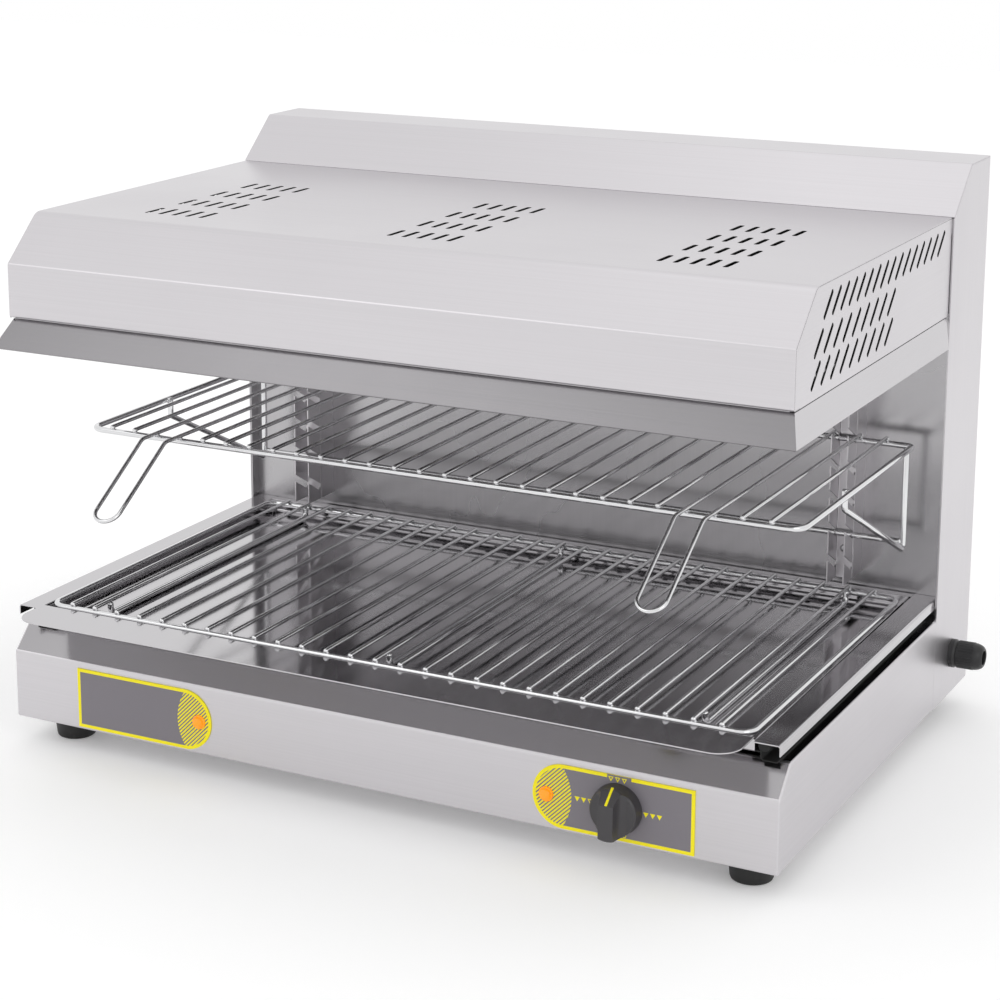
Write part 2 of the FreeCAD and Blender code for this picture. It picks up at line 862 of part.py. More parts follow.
def rack_frame(half, front, rear, height, rear_corner):
    """Both halves of a rack's frame rod, which meet in the middle."""
    halves = []
    for name, sign in sides:
        halves.append(bent_rod([
            Vector(0, rear, height),
            Vector(sign * half, rear, height),
            Vector(sign * half, front, height),
            Vector(0, front, height),
        ], frame_rod, [rear_corner, rack_corner]))
    return halves


def rack_bar(x, front, rear, height):
    """A bar across a rack, flat on both rails."""
    start = Vector(x, front - bar_rod / 2, height + bar_lift)
    return straight_rod(start, Vector(x, rear + bar_rod / 2, height + bar_lift), bar_rod, bar_side_count)


def lower_rack_grid():
    """Frame rod with rounded corners and the bars welded on top of it."""
    shapes = rack_frame(lower_half, lower_front, lower_rear, lower_rail, rack_corner)
    for number in range(rack_bar_count):
        place = number - (rack_bar_count - 1) / 2
        shapes.append(rack_bar(place * lower_pitch, lower_front, lower_rear, lower_rail))
    return fused(shapes)


def lower_rack_skid(step):
    """A bent rod that stands in the tray and meets one bar from below at both ends."""
    front = lower_front + skid_front_inset
    rear = lower_rear - skid_rear_inset
    top = lower_rail + bar_lift - bar_rod / 2
    return bent_rod(side_view([
        (front, top),
        (front, skid_low),
        (rear, skid_low),
        (rear, top),
    ], step * skid_bar_count * lower_pitch), frame_rod, [skid_bend, skid_bend])


# Upper rack

def upper_rack_grid():
    """Frame rod with rounded corners and all bars but those of the handles."""
    shapes = rack_frame(upper_half, upper_rack_setback, upper_rear, upper_rack_height, frame_rod)
    for number in range(rack_bar_count):
        place = number - (rack_bar_count - 1) // 2
        if abs(place) not in handle_bar_counts:
            shapes.append(rack_bar(place * upper_pitch, upper_rack_setback, upper_rear, upper_rack_height))
    return fused(shapes)


def upper_rack_handle(sign):
    """Two neighbouring bars that bend down over the front rail into one hairpin loop."""
    inner_x = handle_bar_counts[0] * upper_pitch
    outer_x = handle_bar_counts[1] * upper_pitch
    height = upper_rack_height + bar_lift
    knee_y = upper_rack_setback - handle_lead
    angle = math.radians(handle_angle)
    tip_y = knee_y - handle_length * math.cos(angle)
    tip_z = height - handle_length * math.sin(angle)
    rear = upper_rear + bar_rod / 2
    turn = upper_pitch / 2
    hairpin = bent_rod([
        Vector(inner_x, rear, height),
        Vector(inner_x, knee_y, height),
        Vector(inner_x, tip_y, tip_z),
        Vector(outer_x, tip_y, tip_z),
        Vector(outer_x, knee_y, height),
        Vector(outer_x, rear, height),
    ], bar_rod, [handle_bend, turn, turn, handle_bend])
    return on_side(hairpin, sign)


def upper_rack_brace(sign):
    """Side brace from the frame's side rail down to the crossbar and up to the rear rail."""
    front = upper_rear - brace_reach
    brace = bent_rod(side_view([
        (front, upper_rack_height + frame_rod / 2),
        (front, upper_rack_height - brace_top_drop),
        (upper_rear, crossbar_z - brace_tail),
        (upper_rear, upper_rack_height - frame_rod / 2),
    ], brace_x), frame_rod, [brace_bend, brace_bend])
    return on_side(brace, sign)


def upper_rack_crossbar():
    """Rear crossbar between the braces, which rests in the ladders."""
    end = Vector(brace_x - frame_rod / 2, upper_rear, crossbar_z)
    return straight_rod(Vector(-end.x, end.y, end.z), end, frame_rod, rod_side_count)


# Ladders

def ladder_slot_heights():
    """Heights of the rods that the ladder's slots can hold."""
    return [ladder_first_slot + step * ladder_slot_pitch for step in range(ladder_slot_count)]


def ladder_screw_heights():
    """Heights of the two screws, between the two lowest slots and above the highest."""
    heights = ladder_slot_heights()
    return (heights[0] + ladder_slot_pitch / 2, heights[-1] + ladder_slot_pitch)


def screw_hole(height):
    """The space for a ladder screw through both webs."""
    start = Vector(ladder_x, ladder_web - overrun, height)
    return straight_rod(start, start + back * (3 * overrun), ladder_screw + 2 * sheet_fit, pin_side_count)


def ladder_channel(sign):
    """Channel open to the front, with slots that fall to the rear in both flanges."""
    low_x = ladder_x - ladder_width / 2
    high_x = ladder_x + ladder_width / 2
    rear = ladder_web + sheet
    front = rear - ladder_depth
    corners = [
        Vector(low_x, front, ladder_foot),
        Vector(low_x, rear, ladder_foot),
        Vector(high_x, rear, ladder_foot),
        Vector(high_x, front, ladder_foot),
    ]
    channel = folded_sheet(corners, up * (ladder_head - ladder_foot), sheet, [fold / 2, fold / 2])
    angle = math.radians(ladder_slot_angle)
    outward = Vector(0, -math.cos(angle), math.sin(angle))
    through = across * (2 * ladder_width)
    cutters = [screw_hole(height) for height in ladder_screw_heights()]
    for height in ladder_slot_heights():
        seat = Vector(ladder_x, upper_rear, height)
        mouth = seat + outward * (2 * ladder_depth)
        cutters.append(slot_cutter(seat, mouth, through, slot_width, slot_side_count))
    return on_side(channel.cut(cutters), sign)


def ladder_spacer(sign):
    """Channel between the ladder and the back wall, open to the wall."""
    low_x = ladder_x - ladder_width / 2
    high_x = ladder_x + ladder_width / 2
    front = ladder_web + sheet
    corners = [
        Vector(high_x, wall_front, ladder_foot),
        Vector(high_x, front, ladder_foot),
        Vector(low_x, front, ladder_foot),
        Vector(low_x, wall_front, ladder_foot),
    ]
    spacer = folded_sheet(corners, up * (ladder_head - ladder_foot), sheet, [fold / 2, fold / 2])
    return on_side(spacer.cut([screw_hole(height) for height in ladder_screw_heights()]), sign)


def ladder_screws():
    """Round-headed screws through the ladders and their spacers."""
    screws = []
    head_radius = ladder_screw_head / 2
    for height in ladder_screw_heights():
        foot = Vector(ladder_x, ladder_web, height)
        head = turned([
            (head_radius, 0),
            (head_radius, ladder_screw_head_height / 2),
            (head_radius / 2, ladder_screw_head_height),
        ], foot, -back, pin_side_count)
        shank = straight_rod(foot, foot + back * (4 * sheet), ladder_screw, pin_side_count)
        for name, sign in sides:
            screws.append(on_side(fused([head, shank]), sign))
    return Part.makeCompound(screws)


# Controls

def control_plate(sign):
    """Thin plate with a square outer end and a round inner end, bored for lamp and knob."""
    radius = plate_height / 2
    outline = rounded_run([
        Vector(plate_outer, 0, plate_rise),
        Vector(plate_inner, 0, plate_rise),
        Vector(plate_inner, 0, plate_rise + plate_height),
        Vector(plate_outer, 0, plate_rise + plate_height),
    ], [radius, radius], corner_chord_count)
    plate = flat_face(outline).extrude(-back * plate_thickness)
    plate = drilled(plate, Vector(lamp_x, 0, plate_z), back, lamp_hole)
    if sign > 0:
        plate = drilled(plate, Vector(knob_x, 0, plate_z), back, switch_hole)
    return on_side(plate, sign)


def pilot_lamp(sign):
    """Round lamp with a collar on the plate, a low dome and a body behind the front."""
    seat = Vector(sign * lamp_x, -plate_thickness, plate_z)
    radius = lamp_diameter / 2
    pairs = [(radius, 0), (radius, lamp_collar)]
    for step in range(1, dome_ring_count + 1):
        angle = math.pi / 2 * step / (dome_ring_count + 1)
        pairs.append((radius * math.cos(angle), lamp_collar + lamp_dome * math.sin(angle)))
    lens = turned(pairs, seat, -back)
    body = straight_rod(seat, seat + back * lamp_body_length, lamp_body_diameter, hole_side_count)
    return fused([lens, body])


def pilot_lamp_nuts():
    """Hexagon nuts that hold the lamps from behind the front."""
    nuts = []
    for name, sign in sides:
        foot = Vector(sign * lamp_x, sheet, plate_z)
        height = back * lamp_nut_thickness
        nuts.append(hexagon_nut(foot, height, lamp_nut_size, lamp_body_diameter, hole_side_count))
    return Part.makeCompound(nuts)


def shaft_section(radius, foot, axis, length):
    """A round shaft with one flat along it, towards the top."""
    shaft = Part.makeCylinder(radius, length, foot, axis)
    flat_z = foot.z + radius - shaft_flat
    low = Vector(foot.x - radius, foot.y - length, flat_z)
    high = Vector(foot.x + radius, foot.y + length, foot.z + 2 * radius)
    return shaft.cut(block(low, high))


def control_knob():
    """Round knob with a raised grip across its face and a bore with a flat."""
    foot = Vector(knob_x, -knob_seat, plate_z)
    radius = knob_diameter / 2
    face_radius = knob_face_diameter / 2
    skirt = turned([
        (radius, 0),
        (radius, knob_wall),
        (face_radius, knob_skirt_height - knob_edge),
        (face_radius - knob_edge, knob_skirt_height),
    ], foot, -back, knob_side_count)
    half = knob_grip_width / 2
    grip_low = Vector(knob_x - half, -knob_seat - knob_height, plate_z - radius)
    grip = block(grip_low, Vector(knob_x + half, -knob_seat - knob_wall, plate_z + radius))
    rim = straight_rod(foot, foot - back * knob_height, 2 * (face_radius - knob_edge), knob_side_count)
    grip = grip.common(rim)
    face_edges = [edge for edge in grip.Edges if abs(edge.BoundBox.YMax - grip_low.y) < same_place]
    grip = grip.makeChamfer(knob_edge, face_edges)
    return fused([skirt, grip]).cut(shaft_section(shaft_diameter / 2, foot, -back, knob_height - knob_wall))


def knob_shaft():
    """Switch shaft with a flat, from inside the knob back into the switch."""
    foot = Vector(knob_x, -knob_seat, plate_z)
    front = shaft_section(shaft_diameter / 2, foot, -back, knob_height - knob_wall)
    rear = Part.makeCylinder(shaft_diameter / 2, shaft_tail, foot, back)
    return fused([front, rear])


def rotary_switch():
    """Switch body behind the front with its bush through the plate and terminals at the back."""
    half = switch_size / 2
    high = Vector(knob_x + half, sheet + switch_depth, plate_z + half)
    shapes = [block(Vector(knob_x - half, sheet, plate_z - half), high)]
    bush = Vector(knob_x, -plate_thickness, plate_z)
    shapes.append(straight_rod(bush, Vector(knob_x, sheet, plate_z), switch_bush_diameter, hole_side_count))
    for name, column in sides:
        for row in (-1, 1):
            x = knob_x + column * half / 2 - switch_terminal_width / 2
            z = plate_z + row * half / 2
            tab_low = Vector(x, high.y - sheet, z)
            tab_high = Vector(x + switch_terminal_width, high.y + switch_terminal_length, z + sheet)
            shapes.append(block(tab_low, tab_high))
    bore = Part.makeCylinder(shaft_diameter / 2 + shaft_play, plate_thickness + shaft_tail, bush, back)
    return fused(shapes).cut(bore)


# Feet

def foot_places():
    """Name and place of each foot under the bottom plate."""
    places = []
    for row, y in zip(("front", "rear"), foot_rows):
        for name, sign in sides:
            places.append((f"foot_{row}_{name}", Vector(sign * foot_x, y, sheet)))
    return places


def foot(seat):
    """Turned foot with a softened rim and a stud up through the bottom plate."""
    radius = foot_diameter / 2
    height = foot_drop + sheet
    pad = turned([
        (radius, 0),
        (radius - foot_taper, height - foot_edge),
        (radius - foot_taper - foot_edge, height),
    ], seat, -up)
    return fused([pad, straight_rod(seat, seat + up * stud_length, stud_diameter, pin_side_count)])


def foot_nuts():
    """Hexagon nuts on the studs."""
    nuts = []
    for name, seat in foot_places():
        nuts.append(hexagon_nut(seat + up * sheet, up * nut_height, nut_size, stud_diameter, pin_side_count))
    return Part.makeCompound(nuts)


# Cable gland and terminal block

def cable_gland_body():
    """Gland with a round flange outside the column's side and a bored thread through it."""
    seat = Vector(body_half_width, gland_y, gland_rise)
    flange_radius = gland_flange_diameter / 2
    flange = turned([
        (flange_radius, 0),
        (flange_radius, gland_flange - foot_edge),
        (flange_radius - foot_edge, gland_flange),
    ], seat, across)
    tail_end = seat - across * gland_tail
    tail = straight_rod(seat, tail_end, gland_thread, hole_side_count)
    bore = Part.makeCylinder(gland_bore / 2, gland_tail + gland_flange, tail_end, across)
    return fused([flange, tail]).cut(bore)


def cable_gland_nut():
    """Domed nut with an open bore."""
    seat = Vector(body_half_width + gland_flange, gland_y, gland_rise)
    radius = gland_nut_diameter / 2
    nut = turned([
        (radius, 0),
        (radius, gland_nut_length - gland_nut_dome),
        (gland_bore / 2 + gland_nut_dome / 2, gland_nut_length),
    ], seat, across)
    return nut.cut(Part.makeCylinder(gland_bore / 2, gland_nut_length, seat, across))


def cable_gland_locknut():
    """Hexagon nut on the gland's thread inside the column."""
    seat = Vector(body_half_width - sheet, gland_y, gland_rise)
    return hexagon_nut(seat, -across * gland_locknut, gland_locknut_size, gland_thread, hole_side_count)


def terminal_block():
    """Row of insulated terminals on the bottom plate near the gland."""
    high_x = body_half_width - block_inset
    low = Vector(high_x - block_length, gland_y - block_width / 2, bottom_top)
    top = bottom_top + block_height
    body = block(low, Vector(high_x, gland_y + block_width / 2, top))
    pole = block_length / block_pole_count
    cutters = []
    for step in range(block_pole_count):
        x = low.x + (step + 1 / 2) * pole
        well_low = Vector(x - block_well / 2, gland_y - block_well / 2, top - block_well_depth)
        cutters.append(block(well_low, well_low + Vector(block_well, block_well, block_height)))
    for step in range(1, block_pole_count):
        x = low.x + step * pole
        groove_low = Vector(x - sheet / 2, low.y - overrun, top - block_groove_depth)
        groove_high = Vector(x + sheet / 2, low.y + block_width + overrun, top + overrun)
        cutters.append(block(groove_low, groove_high))
    return body.cut(cutters)


def all_pieces():
    """Every piece under its name."""
    pieces = {
        "base_shell": base_shell(),
        "base_bottom_plate": base_bottom_plate(),
        "column_back_panel": column_back_panel(),
        "column_top_cover": column_top_cover(),
        "cavity_back_wall": cavity_back_wall(),
        "hood_cover": hood_cover(),
        "reflector_skirt": reflector_skirt(),
        "reflector_pan": reflector_pan(),
        "heating_tube_caps": heating_tube_caps(),
        "element_guard": element_guard(),
        "deck_rear_strip": deck_rear_strip(),
        "crumb_tray": crumb_tray(),
        "lower_rack_grid": lower_rack_grid(),
        "upper_rack_grid": upper_rack_grid(),
        "upper_rack_crossbar": upper_rack_crossbar(),
        "ladder_screws": ladder_screws(),
        "pilot_lamp_nuts": pilot_lamp_nuts(),
        "control_knob": control_knob(),
        "knob_shaft": knob_shaft(),
        "rotary_switch": rotary_switch(),
        "foot_nuts": foot_nuts(),
        "cable_gland_body": cable_gland_body(),
        "cable_gland_nut": cable_gland_nut(),
        "cable_gland_locknut": cable_gland_locknut(),
        "terminal_block": terminal_block(),
    }
    for name, sign in sides:
        pieces[f"column_side_{name}"] = column_side(sign)
        pieces[f"hood_cheek_{name}"] = hood_cheek(sign)
        pieces[f"tube_holder_{name}"] = tube_holder(sign)
        pieces[f"deck_side_{name}"] = deck_side(sign)
        pieces[f"tray_runner_{name}"] = tray_runner(sign)
        pieces[f"upper_rack_handle_{name}"] = upper_rack_handle(sign)
        pieces[f"upper_rack_brace_{name}"] = upper_rack_brace(sign)
        pieces[f"ladder_channel_{name}"] = ladder_channel(sign)
        pieces[f"ladder_spacer_{name}"] = ladder_spacer(sign)
        pieces[f"control_plate_{name}"] = control_plate(sign)
        pieces[f"pilot_lamp_{name}"] = pilot_lamp(sign)
    for name, step in (("left", -1), ("middle", 0), ("right", 1)):
        pieces[f"lower_rack_skid_{name}"] = lower_rack_skid(step)
    for number, y in enumerate(tube_rows(), 1):
        pieces[f"heating_tube_{number}"] = heating_tube(y)
    for name, seat in foot_places():
        pieces[name] = foot(seat)
    return pieces


# The whole object's bottom centre becomes the origin
skirt_half = hood_half - skirt_inset + skirt_flare
gland_end = body_half_width + gland_flange + gland_nut_length
to_origin = Vector((skirt_half - gland_end) / 2, (tray_lip - body_depth) / 2, foot_drop)

os.makedirs("parts", exist_ok=True)
for piece_name, piece_shape in all_pieces().items():
    piece_shape.translate(to_origin)
    piece_shape.exportStep(f"parts/{piece_name}.step")
    print(piece_name, len(piece_shape.Solids), piece_shape.isValid(), round(piece_shape.Volume))
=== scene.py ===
import json
import math

import bmesh
import bpy
from mathutils import Matrix, Vector

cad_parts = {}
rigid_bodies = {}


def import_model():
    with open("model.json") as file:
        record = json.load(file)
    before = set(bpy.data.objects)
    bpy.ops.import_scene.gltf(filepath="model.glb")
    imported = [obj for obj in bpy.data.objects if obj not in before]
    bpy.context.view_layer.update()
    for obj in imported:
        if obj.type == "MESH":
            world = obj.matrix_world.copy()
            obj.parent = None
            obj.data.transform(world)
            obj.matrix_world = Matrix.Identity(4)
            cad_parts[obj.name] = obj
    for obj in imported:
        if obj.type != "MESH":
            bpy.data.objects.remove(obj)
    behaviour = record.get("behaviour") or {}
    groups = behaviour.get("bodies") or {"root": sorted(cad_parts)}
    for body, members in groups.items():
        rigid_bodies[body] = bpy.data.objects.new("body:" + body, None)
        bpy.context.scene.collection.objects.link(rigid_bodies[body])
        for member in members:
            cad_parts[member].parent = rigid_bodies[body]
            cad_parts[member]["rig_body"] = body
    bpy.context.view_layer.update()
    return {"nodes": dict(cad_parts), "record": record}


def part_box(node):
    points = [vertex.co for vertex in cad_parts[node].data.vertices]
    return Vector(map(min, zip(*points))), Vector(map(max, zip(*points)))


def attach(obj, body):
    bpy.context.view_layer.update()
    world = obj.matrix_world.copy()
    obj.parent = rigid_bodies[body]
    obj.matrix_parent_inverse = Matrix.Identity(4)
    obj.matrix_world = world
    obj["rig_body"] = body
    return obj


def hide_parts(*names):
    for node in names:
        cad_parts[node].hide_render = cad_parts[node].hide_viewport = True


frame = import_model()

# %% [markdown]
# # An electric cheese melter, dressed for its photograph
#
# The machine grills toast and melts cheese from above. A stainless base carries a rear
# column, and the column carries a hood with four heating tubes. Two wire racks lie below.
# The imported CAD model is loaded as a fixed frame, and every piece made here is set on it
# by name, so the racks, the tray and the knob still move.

nodes = frame["nodes"]

# %% [markdown]
# ## Camera
#
# The photograph was taken from the right, slightly above the hood, with a long lens. Its
# upright edges stay nearly parallel, as with a lens that is moved down instead of tilted.
# A small lens shift gives most of that look, and the other views stay centred enough.

# %% Camera
camera_data = bpy.data.cameras.new("photo_camera")
camera_data.sensor_width = 36.0
camera_data.lens = 89.03
camera_data.shift_x = 0.06
camera_data.shift_y = -0.15
camera_data.clip_end = 50.0
camera = bpy.data.objects.new("photo_camera", camera_data)
camera.location = (1.04886, -2.10378, 0.92663)
camera.rotation_euler = [math.radians(angle) for angle in (77.172, 0.066, 28.072)]
bpy.context.scene.collection.objects.link(camera)
bpy.context.scene.camera = camera
bpy.context.scene.view_settings.view_transform = "Standard"
print("camera", [round(value, 3) for value in camera.location], "lens", camera_data.lens)

# %% [markdown]
# ## Floor and light
#
# Polished steel shows whatever stands round it, so the room is part of its finish. A white
# world and a white floor give the bright, even tone of a catalogue picture. The floor
# adds some light of its own wherever it is seen, and keeps the machine's shadow.

# %% World
def new_material(name):
    """A node material with one Principled shader, which it returns too."""
    material = bpy.data.materials.new(name)
    material.use_nodes = True
    return material, material.node_tree, material.node_tree.nodes["Principled BSDF"]


def seen_rays(tree):
    """A socket that is 1 where the camera sees a thing directly, mirrored or through glass."""
    rays = tree.nodes.new("ShaderNodeLightPath")
    mirrored = tree.nodes.new("ShaderNodeMath")
    mirrored.operation = "MAXIMUM"
    through = tree.nodes.new("ShaderNodeMath")
    through.operation = "MAXIMUM"
    tree.links.new(rays.outputs["Is Camera Ray"], mirrored.inputs[0])
    tree.links.new(rays.outputs["Is Glossy Ray"], mirrored.inputs[1])
    tree.links.new(mirrored.outputs[0], through.inputs[0])
    tree.links.new(rays.outputs["Is Transmission Ray"], through.inputs[1])
    return through.outputs[0]


world = bpy.data.worlds.new("studio")
bpy.context.scene.world = world
world.use_nodes = True
sky = world.node_tree.nodes["Background"]
sky.inputs["Color"].default_value = (1.0, 1.0, 1.0, 1.0)
sky_level = world.node_tree.nodes.new("ShaderNodeMapRange")
sky_level.inputs["To Min"].default_value = 0.95
sky_level.inputs["To Max"].default_value = 1.0
world.node_tree.links.new(seen_rays(world.node_tree), sky_level.inputs["Value"])
world.node_tree.links.new(sky_level.outputs["Result"], sky.inputs["Strength"])
print("world strength", [round(sky_level.inputs[label].default_value, 2) for label in ("To Min", "To Max")])

# %% Floor
floor_mesh = bpy.data.meshes.new("studio_floor")
floor_bm = bmesh.new()
bmesh.ops.create_grid(floor_bm, x_segments=1, y_segments=1, size=6.0)
floor_bm.to_mesh(floor_mesh)
floor_bm.free()
floor = bpy.data.objects.new("studio_floor", floor_mesh)
bpy.context.scene.collection.objects.link(floor)
floor_material, floor_tree, floor_shader = new_material("studio_floor")
floor_shader.inputs["Base Color"].default_value = (0.9, 0.9, 0.9, 1.0)
floor_shader.inputs["Roughness"].default_value = 0.9
floor_glow = floor_tree.nodes.new("ShaderNodeMath")
floor_glow.operation = "MULTIPLY"
floor_glow.inputs[1].default_value = 0.16
floor_tree.links.new(seen_rays(floor_tree), floor_glow.inputs[0])
floor_shader.inputs["Emission Color"].default_value = (1.0, 1.0, 1.0, 1.0)
floor_tree.links.new(floor_glow.outputs[0], floor_shader.inputs["Emission Strength"])
floor_mesh.materials.append(floor_material)


# %% Lamps
def softbox(name, place, target, size, watts):
    """A square area lamp at a place, turned towards a target."""
    data = bpy.data.lights.new(name, "AREA")
    data.shape = "SQUARE"
    data.size = size
    data.energy = watts
    lamp = bpy.data.objects.new(name, data)
    lamp.location = place
    lamp.rotation_euler = (Vector(target) - Vector(place)).to_track_quat("-Z", "Y").to_euler()
    bpy.context.scene.collection.objects.link(lamp)
    return lamp


softbox("key_softbox", (-1.6, -2.2, 2.6), (0, 0, 0.3), 1.8, 7)
softbox("fill_softbox", (2.4, -1.6, 1.6), (0, 0, 0.3), 1.5, 6)
softbox("top_softbox", (0.0, 0.2, 3.0), (0, 0, 0.3), 2.0, 3)

# %% [markdown]
# ## Effects that several finishes share
#
# Sheet metal is rolled and brushed in one direction, which leaves fine streaks. The group
# below stretches a noise along one axis, so each sheet gets its own streak direction. A
# second group gives broad, soft smudges, which real steel always has.

# %% Streak and smudge groups
def group_of(name, inputs, outputs):
    """An empty shader group with named sockets, and its input and output nodes."""
    group = bpy.data.node_groups.new(name, "ShaderNodeTree")
    for label, kind, value in inputs:
        socket = group.interface.new_socket(name=label, in_out="INPUT", socket_type=kind)
        socket.default_value = value
    for label, kind in outputs:
        group.interface.new_socket(name=label, in_out="OUTPUT", socket_type=kind)
    return group, group.nodes.new("NodeGroupInput"), group.nodes.new("NodeGroupOutput")


streaks, streaks_in, streaks_out = group_of(
    "brushed_streaks",
    [("Stretch", "NodeSocketVector", (3.0, 500.0, 500.0)), ("Strength", "NodeSocketFloat", 0.1)],
    [("Tone", "NodeSocketFloat"), ("Height", "NodeSocketFloat")],
)
place = streaks.nodes.new("ShaderNodeTexCoord")
scaled = streaks.nodes.new("ShaderNodeVectorMath")
scaled.operation = "MULTIPLY"
noise = streaks.nodes.new("ShaderNodeTexNoise")
noise.inputs["Scale"].default_value = 1.0
noise.inputs["Detail"].default_value = 5.0
noise.inputs["Roughness"].default_value = 0.6
around_one = streaks.nodes.new("ShaderNodeMath")
around_one.operation = "SUBTRACT"
around_one.inputs[1].default_value = 0.5
toned = streaks.nodes.new("ShaderNodeMath")
toned.operation = "MULTIPLY_ADD"
toned.inputs[2].default_value = 1.0
streaks.links.new(place.outputs["Object"], scaled.inputs[0])
streaks.links.new(streaks_in.outputs["Stretch"], scaled.inputs[1])
streaks.links.new(scaled.outputs[0], noise.inputs["Vector"])
streaks.links.new(noise.outputs["Fac"], around_one.inputs[0])
streaks.links.new(around_one.outputs[0], toned.inputs[0])
streaks.links.new(streaks_in.outputs["Strength"], toned.inputs[1])
streaks.links.new(toned.outputs[0], streaks_out.inputs["Tone"])
streaks.links.new(noise.outputs["Fac"], streaks_out.inputs["Height"])

smudges, smudges_in, smudges_out = group_of(
    "soft_smudges",
    [("Scale", "NodeSocketFloat", 6.0), ("Low", "NodeSocketFloat", 0.3), ("High", "NodeSocketFloat", 0.4)],
    [("Value", "NodeSocketFloat")],
)
smudge_place = smudges.nodes.new("ShaderNodeTexCoord")
smudge_noise = smudges.nodes.new("ShaderNodeTexNoise")
smudge_noise.inputs["Detail"].default_value = 3.0
smudge_range = smudges.nodes.new("ShaderNodeMapRange")
smudge_range.inputs["From Min"].default_value = 0.3
smudge_range.inputs["From Max"].default_value = 0.7
smudges.links.new(smudge_place.outputs["Object"], smudge_noise.inputs["Vector"])
smudges.links.new(smudges_in.outputs["Scale"], smudge_noise.inputs["Scale"])
smudges.links.new(smudge_noise.outputs["Fac"], smudge_range.inputs["Value"])
smudges.links.new(smudges_in.outputs["Low"], smudge_range.inputs["To Min"])
smudges.links.new(smudges_in.outputs["High"], smudge_range.inputs["To Max"])
smudges.links.new(smudge_range.outputs["Result"], smudges_out.inputs["Value"])
print("groups", [group.name for group in bpy.data.node_groups])


# %% [markdown]
# ## Steel finishes
#
# Stainless steel is a metal with a pale grey colour. The outer sheets are satin, with
# streaks along their length. The tray and the deck are polished and show the racks as in a
# dull mirror, and the back wall is brushed. One function makes them all, with a colour, a
# roughness range and a streak direction each. The greys were matched to the photograph.
# Where one is much darker than 0.6, it is a painted reflection of dark things round the real machine.

# %% Steel
def steel(name, tone, rough, stretch, strength, bump):
    """A brushed metal: tone is its grey, rough the range of its roughness."""
    material, tree, shader = new_material(name)
    streak = tree.nodes.new("ShaderNodeGroup")
    streak.node_tree = streaks
    streak.inputs["Stretch"].default_value = stretch
    streak.inputs["Strength"].default_value = strength
    smudge = tree.nodes.new("ShaderNodeGroup")
    smudge.node_tree = smudges
    smudge.inputs["Low"].default_value = rough[0]
    smudge.inputs["High"].default_value = rough[1]
    colour = tree.nodes.new("ShaderNodeVectorMath")
    colour.operation = "SCALE"
    colour.inputs[0].default_value = tone
    relief = tree.nodes.new("ShaderNodeBump")
    relief.inputs["Strength"].default_value = bump
    relief.inputs["Distance"].default_value = 0.0002
    tree.links.new(streak.outputs["Tone"], colour.inputs["Scale"])
    tree.links.new(colour.outputs[0], shader.inputs["Base Color"])
    tree.links.new(smudge.outputs["Value"], shader.inputs["Roughness"])
    tree.links.new(streak.outputs["Height"], relief.inputs["Height"])
    tree.links.new(relief.outputs["Normal"], shader.inputs["Normal"])
    shader.inputs["Metallic"].default_value = 1.0
    return material


along_x = (3.0, 700.0, 700.0)
along_y = (700.0, 3.0, 700.0)
along_z = (700.0, 700.0, 3.0)
satin_front = steel("satin_steel_front", (0.63, 0.612, 0.632), (0.30, 0.38), along_x, 0.10, 0.25)
satin_side = steel("satin_steel_side", (0.63, 0.612, 0.632), (0.30, 0.38), along_y, 0.10, 0.25)
satin_column = steel("satin_steel_column", (0.63, 0.612, 0.632), (0.30, 0.38), along_z, 0.10, 0.25)
# One skirt steel in two tones: the front's 0.28 is a painted reflection of dark surroundings, and the side's
# 0.60 is the lit copy.
skirt_steel = steel("skirt_front_painted_reflection", (0.28, 0.272, 0.282), (0.20, 0.28), along_x, 0.08, 0.15)
skirt_side = steel("skirt_side_lit_copy", (0.60, 0.585, 0.603), (0.20, 0.28), along_y, 0.08, 0.15)
polished = steel("polished_steel", (0.54, 0.528, 0.543), (0.07, 0.11), (90.0, 2.0, 90.0), 0.03, 0.004)
brushed_back = steel("brushed_back_wall", (0.46, 0.45, 0.463), (0.24, 0.30), along_z, 0.12, 0.12)
# Tone 0.40 is painted shade: the base's slanted face and top are darker because they lie in the dark under the
# tray's lip.
slant_painted_shade = steel("slant_painted_shade_steel", (0.40, 0.39, 0.402), (0.12, 0.18), along_x, 0.05, 0.02)
chrome = steel("chromed_wire", (0.72, 0.72, 0.73), (0.06, 0.12), (40.0, 40.0, 40.0), 0.05, 0.02)
zinc = steel("zinc_fastener", (0.6, 0.6, 0.61), (0.28, 0.36), (60.0, 60.0, 60.0), 0.12, 0.1)


# %% Plain finishes
def plain(name, colour, rough, metallic=0.0, grain=900.0, bump=0.1):
    """A moulded or fired finish with a fine grain."""
    material, tree, shader = new_material(name)
    streak = tree.nodes.new("ShaderNodeGroup")
    streak.node_tree = streaks
    streak.inputs["Stretch"].default_value = (grain, grain, grain)
    streak.inputs["Strength"].default_value = 0.25
    smudge = tree.nodes.new("ShaderNodeGroup")
    smudge.node_tree = smudges
    smudge.inputs["Scale"].default_value = 40.0
    smudge.inputs["Low"].default_value = rough[0]
    smudge.inputs["High"].default_value = rough[1]
    scale = tree.nodes.new("ShaderNodeVectorMath")
    scale.operation = "SCALE"
    scale.inputs[0].default_value = colour
    relief = tree.nodes.new("ShaderNodeBump")
    relief.inputs["Strength"].default_value = bump
    relief.inputs["Distance"].default_value = 0.0002
    tree.links.new(streak.outputs["Tone"], scale.inputs["Scale"])
    tree.links.new(scale.outputs[0], shader.inputs["Base Color"])
    tree.links.new(smudge.outputs["Value"], shader.inputs["Roughness"])
    tree.links.new(streak.outputs["Height"], relief.inputs["Height"])
    tree.links.new(relief.outputs["Normal"], shader.inputs["Normal"])
    shader.inputs["Metallic"].default_value = metallic
    return material


